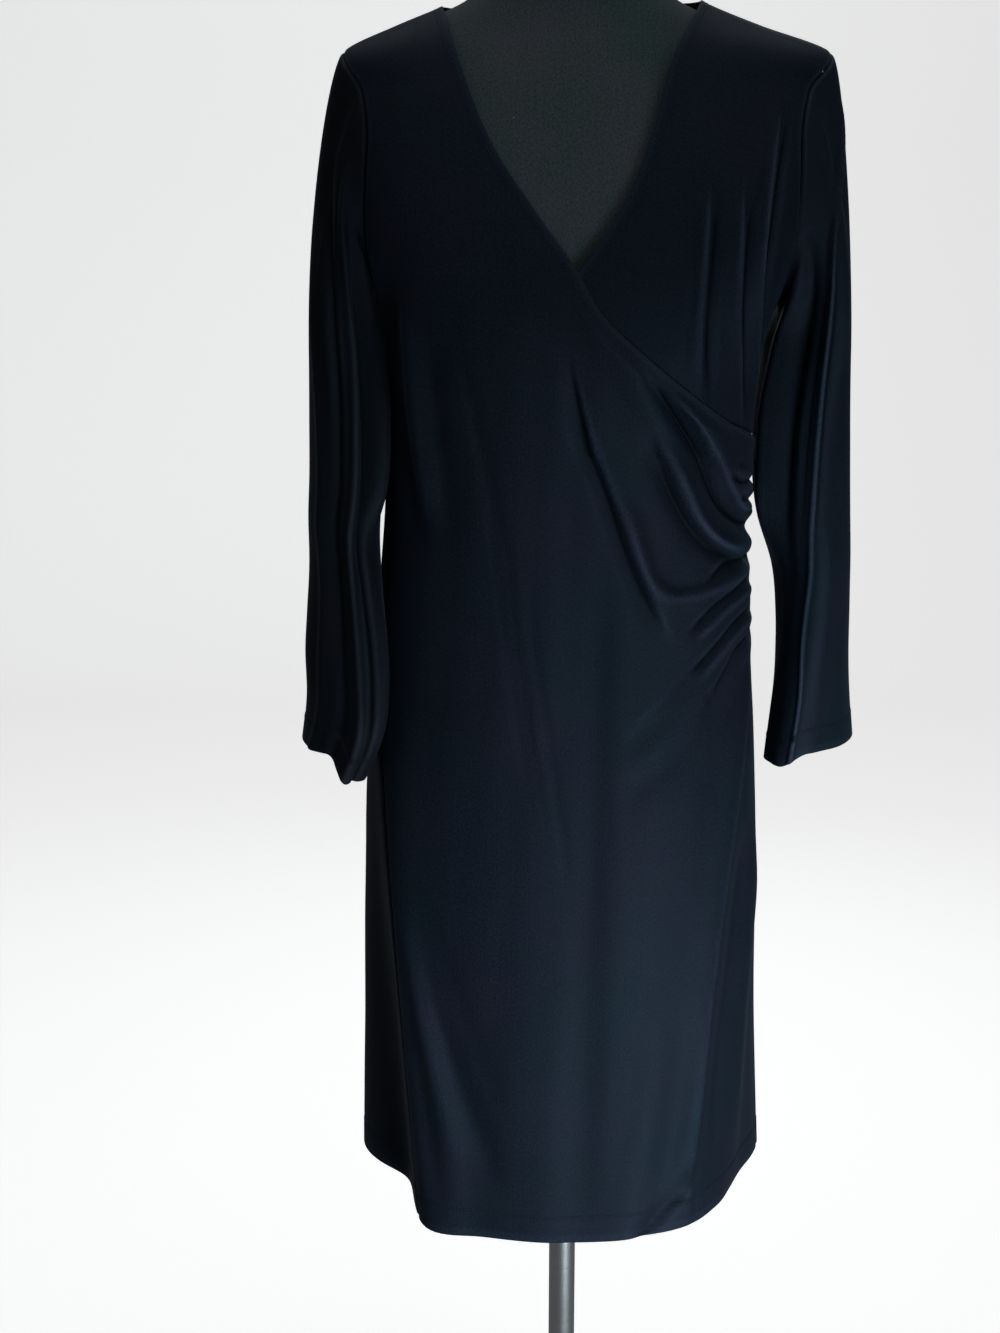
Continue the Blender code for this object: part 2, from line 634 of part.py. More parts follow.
def sleeve(plan, material):
    """A tube sewn into the armhole: flush with the shoulder, bent off the body at the underarm."""
    turns = np.linspace(0, 360, 2 * WRAP_ROWS[0].rows + 1)[:-1]
    ring = np.array([armhole(plan.side, turn if turn <= 180 else turn - 360) for turn in turns])
    hole = body(ring[:, 0], ring[:, 1])
    outward = body_normal(ring[:, 0], ring[:, 1])
    inward = hole.mean(axis=0) - hole
    inward -= (inward * outward).sum(axis=1, keepdims=True) * outward
    inward /= np.linalg.norm(inward, axis=1, keepdims=True)
    topness = (1 + np.cos(np.radians(turns)))[:, None] / 2
    bend = np.pi / 2 * (1 - topness)
    leaving = np.cos(bend) * inward + np.sin(bend) * outward
    facing = np.cos(bend) * outward - np.sin(bend) * inward

    top, cuff = plan.cuts[-1].height, plan.cuts[0].height
    first = sleeve_ring(plan, turns, top)
    rising = (first - sleeve_ring(plan, turns, top - 0.02)) / 0.02
    start = hole + inward * SEAM + outward * CLOTH * np.cos(bend)
    leave = start + leaving * (UNDERARM_REACH + (plan.cap_reach - UNDERARM_REACH) * topness)
    arrive = first + rising * (UNDERARM_RISE + (SHOULDER_RISE - UNDERARM_RISE) * topness)
    rows = []
    for t in np.linspace(0, 1, CAP_ROWS + 1) ** CAP_CROWDING:
        near = (1 - t) ** 3 * start + 3 * (1 - t) ** 2 * t * leave
        rows.append(near + 3 * (1 - t) * t**2 * arrive + t**3 * first)
    rows += [sleeve_ring(plan, turns, height) for height in np.linspace(top, cuff, TUBE_ROWS + 1)[1:]]
    outside = np.array(rows)
    round_way = np.roll(outside, -1, axis=1) - np.roll(outside, 1, axis=1)
    normal = plan.side * np.cross(round_way, np.gradient(outside, axis=0))
    normal /= np.linalg.norm(normal, axis=2, keepdims=True)
    normal[0] = facing
    return wall(plan.name, outside - normal * CLOTH, outside, material, tube=True)


def turned(name, profile, material, sides=36):
    """A solid turned round the stand's axis from (radius, height) points, closed at both ends."""
    points = []
    for radius, height in profile:
        for angle in np.linspace(0, 2 * np.pi, sides, endpoint=False):
            points.append((radius * np.cos(angle), radius * np.sin(angle), height))
    return mesh_object(name, points, rings_of_faces(len(profile), sides), material)


def rings_of_faces(rings, sides):
    faces = [list(range(sides))[::-1], [(rings - 1) * sides + k for k in range(sides)]]
    for i in range(rings - 1):
        for k in range(sides):
            after = (k + 1) % sides
            faces.append([i * sides + k, i * sides + after, (i + 1) * sides + after, (i + 1) * sides + k])
    return faces


def form_torso(material):
    """The form: the dress's sections drawn in by their ease, the same on both sides."""
    heights = [FORM_BOTTOM, FORM_BOTTOM + 0.012]
    heights += list(np.linspace(0.765, 1.395, 15))
    heights += [1.415, 1.433, 1.446, 1.459, 1.472, 1.486, 1.500, 1.520, FORM_TOP]
    angles = np.linspace(0, 360, FORM_SIDES, endpoint=False)
    points = []
    for height in heights:
        ease = column(SECTIONS, "ease", height)
        half = min(column(SECTIONS, "left", height), column(SECTIONS, "right", height)) - ease
        front = column(SECTIONS, "front", height) - ease
        back = column(SECTIONS, "back", height) - ease
        reach = outline(angles, half, half, front, back, column(SECTIONS, "square", height))
        if height == FORM_BOTTOM:
            reach = reach * 0.95
        points.extend(placed(reach, angles, height))
    return mesh_object("form_torso", points, rings_of_faces(len(heights), FORM_SIDES), material)


def finish(name, colour, roughness, metallic=0.0):
    material = bpy.data.materials.new(name)
    material.use_nodes = True
    shader = material.node_tree.nodes["Principled BSDF"]
    shader.inputs["Base Color"].default_value = (*colour, 1)
    shader.inputs["Roughness"].default_value = roughness
    shader.inputs["Metallic"].default_value = metallic
    return material


for old in list(bpy.data.objects):
    bpy.data.objects.remove(old, do_unlink=True)

wrap_grid = between(
    side_edge(-1, 1, WRAP_ROWS),
    free_edge(1, WRAP_EDGE, NECK_POINT_RIGHT, WRAP_ROWS),
    WRAP_COLUMNS,
    GATHER_CROWDING,
)
under_grid = between(
    free_edge(-1, UNDER_EDGE, NECK_POINT_LEFT, UNDER_ROWS), side_edge(1, 1, UNDER_ROWS), UNDER_COLUMNS
)
wrap_grid = hemmed(wrap_grid, WRAP_ROWS[-1].rows)
panel("front_wrap", wrap_grid, wrap_rise, finish("wrap knit", (0.010, 0.014, 0.024), 0.62))
panel("front_under", under_grid, under_rise, finish("under bodice knit", (0.009, 0.012, 0.020), 0.62))
panel("back", back_grid(), back_rise, finish("back knit", (0.009, 0.012, 0.020), 0.62))
for plan in SLEEVES:
    sleeve(plan, finish(plan.name.replace("_", " ") + " knit", (0.008, 0.011, 0.018), 0.62))

form_torso(finish("form jersey", (0.030, 0.033, 0.037), 0.85))
turned(
    "form_neck_cap",
    (
        (CAP_RADIUS - 0.008, FORM_TOP + SEAM),
        (CAP_RADIUS, FORM_TOP + 0.004),
        (CAP_RADIUS - 0.003, FORM_TOP + CAP_HEIGHT),
    ),
    finish("neck cap wood", (0.20, 0.12, 0.06), 0.45),
)
COLLAR_FOOT = FORM_BOTTOM - SEAM - COLLAR_HEIGHT
turned(
    "stand_collar",
    (
        (POLE_RADIUS + 0.004, COLLAR_FOOT),
        (POLE_RADIUS + 0.008, COLLAR_FOOT + 0.012),
        (COLLAR_RADIUS, FORM_BOTTOM - SEAM - 0.012),
        (COLLAR_RADIUS, FORM_BOTTOM - SEAM),
    ),
    finish("collar plastic", (0.02, 0.02, 0.02), 0.5),
)
turned(
    "stand_pole",
    ((POLE_RADIUS, HUB_HEIGHT + SEAM), (POLE_RADIUS, COLLAR_FOOT - SEAM)),
    finish("pole steel", (0.55, 0.56, 0.57), 0.3, 1.0),
    sides=24,
)
turned(
    "stand_base",
    (
        (BASE_RADIUS, 0),
        (BASE_RADIUS, BASE_THICKNESS - 0.003),
        (BASE_RADIUS - 0.004, BASE_THICKNESS),
        (HUB_RADIUS + 0.010, BASE_THICKNESS + 0.004),
        (HUB_RADIUS - 0.006, HUB_HEIGHT - 0.010),
        (POLE_RADIUS + 0.006, HUB_HEIGHT),
    ),
    finish("base enamel", (0.5, 0.5, 0.5), 0.4, 0.6),
)
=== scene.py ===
from collections import namedtuple

import bpy
import numpy as np
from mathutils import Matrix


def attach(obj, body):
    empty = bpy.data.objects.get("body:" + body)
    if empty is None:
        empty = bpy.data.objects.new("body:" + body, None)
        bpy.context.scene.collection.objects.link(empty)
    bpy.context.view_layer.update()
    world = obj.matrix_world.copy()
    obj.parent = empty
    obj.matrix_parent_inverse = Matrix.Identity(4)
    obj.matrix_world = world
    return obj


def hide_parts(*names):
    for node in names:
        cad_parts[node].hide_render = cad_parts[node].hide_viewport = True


# Metres, +Z up. The dress faces -Y and the wearer's left is +X. Angles run round the body in degrees:
# 0 is the wearer's left, 90 the front, 180 the wearer's right and 270 the back.
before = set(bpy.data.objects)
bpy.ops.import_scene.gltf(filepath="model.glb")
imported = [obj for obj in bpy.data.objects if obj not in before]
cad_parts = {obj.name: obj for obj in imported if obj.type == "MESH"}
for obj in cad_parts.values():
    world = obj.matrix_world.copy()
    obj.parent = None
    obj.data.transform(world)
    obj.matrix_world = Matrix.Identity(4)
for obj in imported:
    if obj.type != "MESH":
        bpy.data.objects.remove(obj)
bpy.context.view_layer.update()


# ======================================= Dress form: torso =========================================
# A limbless torso that fills the dress out: foam on a light shell, under a cover of dark grey jersey
# pulled smooth and closed under the foot. Its neck and upper chest show in the V of the dress.

# Cuts across the worn dress: half widths to the wearer's left and right, reach to the front and back,
# squareness of the outline (2 is an ellipse), and the room between the cloth and the form.
Section = namedtuple("Section", "height left right front back square ease")
SECTIONS = [Section(*row) for row in (
    (0.410, 0.191, 0.192, 0.166, 0.128, 2.2, 0.015),
    (0.580, 0.183, 0.191, 0.148, 0.129, 2.2, 0.017),
    (0.700, 0.180, 0.190, 0.138, 0.130, 2.2, 0.018),
    (0.785, 0.176, 0.188, 0.130, 0.127, 2.2, 0.016),
    (0.850, 0.171, 0.183, 0.124, 0.118, 2.2, 0.015),
    (0.920, 0.164, 0.172, 0.119, 0.103, 2.2, 0.017),
    (1.000, 0.160, 0.164, 0.116, 0.091, 2.3, 0.022),
    (1.050, 0.158, 0.160, 0.118, 0.091, 2.3, 0.022),
    (1.100, 0.157, 0.158, 0.123, 0.096, 2.4, 0.019),
    (1.150, 0.160, 0.158, 0.129, 0.103, 2.5, 0.015),
    (1.200, 0.167, 0.161, 0.132, 0.109, 2.6, 0.010),
    (1.240, 0.180, 0.168, 0.129, 0.112, 2.7, 0.007),
    (1.280, 0.193, 0.178, 0.121, 0.113, 2.8, 0.005),
    (1.320, 0.203, 0.185, 0.109, 0.112, 2.8, 0.004),
    (1.360, 0.211, 0.190, 0.095, 0.106, 2.7, 0.0045),
    (1.400, 0.216, 0.193, 0.080, 0.097, 2.5, 0.0060),
    (1.433, 0.212, 0.188, 0.066, 0.085, 2.3, 0.0090),
    (1.452, 0.157, 0.147, 0.058, 0.075, 2.2, 0.0105),
    (1.472, 0.107, 0.098, 0.050, 0.064, 2.2, 0.0080),
    (1.500, 0.070, 0.070, 0.044, 0.056, 2.1, 0.0030),
    (1.525, 0.060, 0.060, 0.043, 0.054, 2.0, 0.002),
    (1.565, 0.057, 0.057, 0.043, 0.054, 2.0, 0.002),
)]
FORM_BOTTOM = 0.720
FORM_TOP = 1.560
FOOT_ROUND = 0.012
FOOT_DRAW = 0.05
FOOT_RINGS = 6
NECK_FOOT = 1.41  # the cover's rings stand closer from here to the neck's column
NECK_COLUMN = 1.50
FORM_COLUMNS = 168
JERSEY_GREY = (0.0330, 0.0470, 0.0510)
JERSEY_WALE = 0.0011
COURSE_PACE = 4.2  # radians of a course in a wale's width
# How finely the noise of streaks and of loops is drawn, across and along the wales.
STREAK_SIZES = (420, 17)
LOOP_SIZES = (640, 420)
GREENISH = (0.84, 1.05, 0.98, 1)  # the colour's slow drift goes between these two casts
REDDISH = (1.16, 0.96, 1.03, 1)


def flowing(knots, values, at):
    """A cubic through the values, whose slope at each knot follows its neighbours."""
    knots = np.asarray(knots, float)
    values = np.asarray(values, float)
    slopes = np.gradient(values, knots)
    at = np.clip(at, knots[0], knots[-1])
    low = np.clip(np.searchsorted(knots, at) - 1, 0, len(knots) - 2)
    step = knots[low + 1] - knots[low]
    t = (at - knots[low]) / step
    start = (1 + 2 * t) * (1 - t) ** 2 * values[low] + t * (1 - t) ** 2 * step * slopes[low]
    end = t**2 * (3 - 2 * t) * values[low + 1] + t**2 * (t - 1) * step * slopes[low + 1]
    return start + end


def column(table, name, height):
    """One named column of a table of rows by height, read at any height."""
    rows = sorted(table, key=lambda row: row.height)
    return flowing([row.height for row in rows], [getattr(row, name) for row in rows], height)


def length_of(vectors):
    """Length of each vector."""
    return np.linalg.norm(vectors, axis=-1)


def cosine(degrees):
    """Cosine of an angle in degrees."""
    return np.cos(np.radians(degrees))


def sine(degrees):
    """Sine of an angle in degrees."""
    return np.sin(np.radians(degrees))


def outline(angle, left, right, front, back, square):
    """Reach of a rounded section in each direction: four quarter superellipses joined."""
    cos, sin = cosine(angle), sine(angle)
    across = np.abs(cos) / np.where(cos > 0, left, right)
    along = np.abs(sin) / np.where(sin > 0, front, back)
    return (across**square + along**square) ** (-1 / square)


def placed(reach, angle, height):
    """Points at a reach and an angle round the vertical axis."""
    return np.stack([reach * cosine(angle), -reach * sine(angle), height + 0 * reach], axis=-1)


def form_surface(angle, height):
    """The form: the dress's sections drawn in by their ease, the same on both sides."""
    ease = column(SECTIONS, "ease", height)
    half = np.minimum(column(SECTIONS, "left", height), column(SECTIONS, "right", height)) - ease
    front = column(SECTIONS, "front", height) - ease
    back = column(SECTIONS, "back", height) - ease
    reach = outline(angle, half, half, front, back, column(SECTIONS, "square", height))
    return placed(reach, angle, height)


def mesh_piece(name, points, quads, material, corners=None):
    """An object at the origin from whole arrays: points, four-cornered faces and their UV corners."""
    mesh = bpy.data.meshes.new(name)
    mesh.from_pydata(points.reshape(-1, 3).tolist(), [], quads.tolist())
    if corners is not None:
        layer = mesh.uv_layers.new(name="cloth")
        layer.data.foreach_set("uv", corners.astype(np.float32).ravel())
    mesh.shade_smooth()
    mesh.materials.append(material)
    piece = bpy.data.objects.new(name, mesh)
    bpy.context.scene.collection.objects.link(piece)
    return piece


def grid_quads(index):
    """Faces of a grid of point numbers: each cell's four corners, down and then across."""
    cell = [index[:-1, :-1], index[1:, :-1], index[1:, 1:], index[:-1, 1:]]
    return np.stack(cell, axis=-1).reshape(-1, 4)


def numbered(rows, columns):
    """Numbers of a grid's points, row by row."""
    return np.arange(rows * columns).reshape(rows, columns)


def closed(grid):
    """A grid with its first column again after its last, so that it joins up."""
    return np.concatenate([grid, grid[:, :1]], axis=1)


def arc(points, axis):
    """Distance along a grid's lines from their start: the steps' lengths added up."""
    steps = length_of(np.diff(points, axis=axis))
    zero = np.zeros_like(np.take(steps, [0], axis=axis))
    return np.concatenate([zero, np.cumsum(steps, axis=axis)], axis=axis)


def feed(tree, node, inputs):
    """A node whose inputs are set to values or linked from sockets."""
    for name, value in dict(inputs).items():
        if isinstance(value, bpy.types.NodeSocket):
            tree.links.new(value, node.inputs[name])
        else:
            node.inputs[name].default_value = value
    return node


def add(tree, kind, inputs=(), **settings):
    """A new node with its settings and its inputs."""
    made = tree.nodes.new("ShaderNode" + kind)
    for name, value in settings.items():
        setattr(made, name, value)
    return feed(tree, made, inputs)


def math(tree, operation, first, second=0.0, third=0.0):
    """One sum on two or three values or sockets."""
    return add(tree, "Math", {0: first, 1: second, 2: third}, operation=operation).outputs[0]


def shade(tree, share, low, high):
    """A colour from low to high by a share."""
    made = add(tree, "Mix", {0: share, 6: low, 7: high}, data_type="RGBA", clamp_factor=True)
    return made.outputs[2]


def scaled(tree, colour, size):
    """A colour times a number."""
    return add(tree, "VectorMath", {0: colour, "Scale": size}, operation="SCALE").outputs[0]


def ramp(tree, value, start, end, low=0.0, high=1.0):
    """A value brought from one range to another and held at its ends."""
    return add(tree, "MapRange", {0: value, 1: start, 2: end, 3: low, 4: high}).outputs[0]


def noise(tree, place, scale, detail):
    """Soft noise over a place."""
    return add(tree, "TexNoise", {"Vector": place, "Scale": scale, "Detail": detail}).outputs[0]


def bumped(tree, height, strength, distance):
    """A normal tilted by a height."""
    return add(tree, "Bump", {"Height": height, "Strength": strength, "Distance": distance}).outputs[0]


def here(tree):
    """The place on the piece, in its own metres."""
    return add(tree, "TexCoord").outputs["Object"]


def fine_knit():
    """Node group of a fine knit. Wales are a sine across the cloth, and courses a weaker sine along it.

    Noise drawn out along the wales makes the streaks, and a slow noise the cloudy shade.
    """
    group = bpy.data.node_groups.new("Fine knit", "ShaderNodeTree")
    numbers = dict.fromkeys(("Wale width", "Streaks", "Clouds", "Roughness"), "Float")
    for way, sockets in (
        ("INPUT", {"Cloth": "Vector", "Colour": "Color", **numbers}),
        ("OUTPUT", {"Colour": "Color", "Roughness": "Float", "Height": "Float"}),
    ):
        for name, kind in sockets.items():
            group.interface.new_socket(name=name, in_out=way, socket_type="NodeSocket" + kind)
    given = group.nodes.new("NodeGroupInput").outputs
    place = add(group, "SeparateXYZ", {0: given["Cloth"]}).outputs
    waves = []
    for way, pace in ((place[0], 2 * np.pi), (place[1], COURSE_PACE)):
        count = math(group, "DIVIDE", way, given["Wale width"])
        waves.append(math(group, "SINE", math(group, "MULTIPLY", count, pace)))
    wale, course = waves
    grains = []
    for sizes, detail in ((STREAK_SIZES, 3.0), (LOOP_SIZES, 2.0)):
        drawn = {k: math(group, "MULTIPLY", place[k], size) for k, size in enumerate(sizes)}
        grains.append(noise(group, add(group, "CombineXYZ", drawn).outputs[0], 1.0, detail))
    streak, loops = grains
    cloud = noise(group, given["Cloth"], 9.0, 3.0)
    lift = math(group, "MULTIPLY_ADD", wale, 0.012, 1.0)
    for grains, weight in ((streak, given["Streaks"]), (cloud, given["Clouds"]), (loops, 1.6)):
        lift = math(group, "MULTIPLY_ADD", math(group, "SUBTRACT", grains, 0.5), weight, lift)
    cast = shade(group, ramp(group, cloud, 0.35, 0.65), GREENISH, REDDISH)
    toned = add(group, "VectorMath", {0: given["Colour"], 1: cast}, operation="MULTIPLY").outputs[0]
    height = math(group, "MULTIPLY_ADD", course, 0.03, math(group, "MULTIPLY", wale, 0.06))
    rough = math(group, "MULTIPLY_ADD", math(group, "SUBTRACT", streak, 0.5), 0.16, given["Roughness"])
    feed(group, group.nodes.new("NodeGroupOutput"), {
        "Colour": scaled(group, toned, lift), "Roughness": rough,
        "Height": math(group, "MULTIPLY_ADD", loops, 1.5, height)})
    return group


KNIT = fine_knit()


def knit_node(tree, colour, wale, streaks, clouds, roughness):
    """The knit group in a material, on the piece's own map in metres."""
    return add(tree, "Group", {
        "Cloth": add(tree, "UVMap", uv_map="cloth").outputs[0], "Colour": (*colour, 1), "Wale width": wale,
        "Streaks": streaks, "Clouds": clouds, "Roughness": roughness}, node_tree=KNIT).outputs


def new_material(name):
    """An empty material, its tree and its shader."""
    material = bpy.data.materials.new(name)
    material.use_nodes = True
    return material, material.node_tree, material.node_tree.nodes["Principled BSDF"]


def jersey_material():
    """Dull dark grey jersey: the knit, with a few pale specks of lint caught on it."""
    material, tree, shader = new_material("Form jersey")
    knit = knit_node(tree, JERSEY_GREY, JERSEY_WALE, 0.30, 0.45, 0.88)
    cell = add(tree, "TexVoronoi", {"Vector": here(tree), "Scale": 62.0, "Randomness": 1.0}).outputs
    near = ramp(tree, cell["Distance"], 0.085, 0.035)
    few = math(tree, "GREATER_THAN", add(tree, "SeparateColor", {0: cell["Color"]}).outputs[0], 0.955)
    lint = math(tree, "MULTIPLY", near, few)
    feed(tree, shader, {
        "Base Color": shade(tree, lint, knit["Colour"], (0.16, 0.18, 0.18, 1)),
        "Roughness": knit["Roughness"], "Normal": bumped(tree, knit["Height"], 0.35, 0.0003),
        "Specular IOR Level": 0.15})
    return material


def form_cover():
    """The torso as one skin of rings: plate, rounded foot, body and neck, and a lid.

    The foot's rings draw in by FOOT_DRAW as they go round a quarter circle. The cloth's map is
    measured round from the middle of the front, and for the back half from the middle of the back.
    """
    foot_top = FORM_BOTTOM + FOOT_ROUND
    stretches = (foot_top, NECK_FOOT, 118), (NECK_FOOT, NECK_COLUMN, 42), (NECK_COLUMN, FORM_TOP, 16)
    heights = np.unique(np.concatenate([np.linspace(*stretch) for stretch in stretches]))
    angle = np.linspace(0, 360, FORM_COLUMNS + 1)[None, :-1]
    rows = form_surface(angle, heights[:, None] + 0 * angle)
    level, up = np.array([1, 1, 0]), np.array([0, 0, 1])
    low, high = rows[:1] * level, rows[-1:] * level
    turn = np.linspace(0, 90, FOOT_RINGS + 1)[:-1, None, None]
    foot = low * (1 - FOOT_DRAW * (1 - sine(turn))) + up * (foot_top - FOOT_ROUND * cosine(turn))
    plate = low * (1 - FOOT_DRAW) * np.array([0.002, 0.2, 0.6, 0.97])[:, None, None] + up * FORM_BOTTOM
    lid = high * np.array([0.9, 0.4, 0.002])[:, None, None] + up * FORM_TOP
    points = closed(np.concatenate([plate, foot, rows, lid]))
    across, along = arc(points, 1), arc(points, 0)
    halves = []
    for middle in (FORM_COLUMNS // 4, 3 * FORM_COLUMNS // 4):
        cloth = np.stack([across - across[:, middle : middle + 1], along], axis=-1)
        halves.append(cloth.reshape(-1, 2)[grid_quads(numbered(*across.shape))])
    front = np.tile(np.arange(FORM_COLUMNS) < FORM_COLUMNS // 2, len(points) - 1)[:, None, None]
    faces = grid_quads(closed(numbered(len(points), FORM_COLUMNS)))
    return mesh_piece("form_cover", points[:, :-1], faces, jersey_material(), np.where(front, *halves))


form_piece = form_cover()
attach(form_piece, "root")
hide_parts("form_torso")


# ====================================== Wrap: the over front ======================================
# One piece of slinky knit from the wearer's right shoulder, over the bust to the wearer's left side
# seam, where it is gathered, and on down as the whole front of the skirt. The V edge is turned in and
# sewn down with a twin needle, the hem with a cover stitch, and the other edges are overlocked seams.

CLOTH = 0.0014  # room that the cloth takes
HALF_CLOTH = 0.0005  # half its real thickness
HEM = 0.420
HEM_SIDE_RISE = 0.010
UNDERARM = 1.226
SHOULDER_TIP = 1.432
NECK_POINT_RIGHT = 1.467
NECK_POINT_LEFT = 1.472
WRAP_END = 1.098  # where the wrap's free edge meets the wearer's left side seam
UNDER_END = 1.112  # and the under bodice's the right one
EDGE_FALL = 1100  # degrees round the body for each metre down, as an edge nears its seam
EDGE_LANDING = 0.0032  # it gets there this far above the seam
GATHER_END = 0.925
ARMHOLE_FRONT = 0.062  # how far the armhole reaches before and behind the shoulder's line
ARMHOLE_BACK = 0.056
LAP_LIFT = 0.0030  # how far the free edge stands off the bodice under it
V_POINT = 1.262  # just over the point of the V, from where the wrap covers the bodice under it
SEAM_GAP = 0.0001
SEAM_LAP = 0.0007  # below the form the front's side edges lap over the back's by this much
SEAM_UNDER = 0.0012  # and the back's lie this much deeper
LAP_TOP = 0.68  # the lap comes in from this height down
SEAM_DIP = 0.0014  # a seam's edges turn in by this much
SEAM_DIP_REACH = 0.0022
SEAM_CALM = 8.0  # degrees over which creases rise from nothing at a side seam
NECK_HEM = 0.0078
HEM_DEPTH = 0.0240
NEEDLES = 0.0022  # between the two rows of a twin needle

# Columns at fixed distances from a panel's edges, and rows at fixed distances from a hem.
EDGE_BAND = np.array([0, 0.0003, 0.0010, 0.0022, 0.0040, 0.0056, 0.0067, 0.0078, 0.0092, 0.0120])
HEM_BAND = np.array([
    0, 0.0003, 0.0010, 0.0025, 0.0070, 0.0130, 0.0190, 0.0218, 0.0229, 0.0240, 0.0256, 0.0300])

# Long hanging folds that bend the whole outline of the skirt, front and back together. Each fades to
# nothing at its top height. Angles and half width are in degrees.
Drape = namedtuple("Drape", "name hem_angle top_angle width rise top")
DRAPES = [Drape(*row) for row in (
    ("right edge of the front", 128, 166, 9, 0.016, 1.00),
    ("hollow behind that edge", 156, 180, 16, -0.034, 1.00),
    ("hollow under the gathers", 22, 10, 20, -0.022, 0.95),
    ("back fold, wearer's right", 222, 212, 11, 0.010, 0.90),
    ("back hollow, wearer's right", 246, 240, 10, -0.009, 0.84),
    ("back fold, middle", 268, 270, 10, 0.008, 0.80),
    ("back hollow, wearer's left", 290, 296, 10, -0.010, 0.84),
    ("back fold, wearer's left", 314, 326, 11, 0.009, 0.90),
)]

# The wearer's right side seam lies just behind the edge that the front hangs from.
Seam = namedtuple("Seam", "height angle")
RIGHT_SEAM = [Seam(*row) for row in (
    (HEM - 0.02, 135), (0.580, 144), (0.720, 151), (0.820, 157), (0.920, 165), (1.000, 171),
    (UNDERARM, 180),
)]

# The edge of the V neck and of the wrap as seen from the front: distance from the middle.
Edge = namedtuple("Edge", "height x")
WRAP_EDGE = [Edge(*row) for row in (
    (NECK_POINT_RIGHT, -0.107), (1.423, -0.093), (1.355, -0.065), (1.295, -0.025), (1.257, 0.002),
    (1.224, 0.022), (1.188, 0.061), (1.134, 0.127), (1.116, 0.150), (WRAP_END, 0.158), (1.000, 0.310),
)]

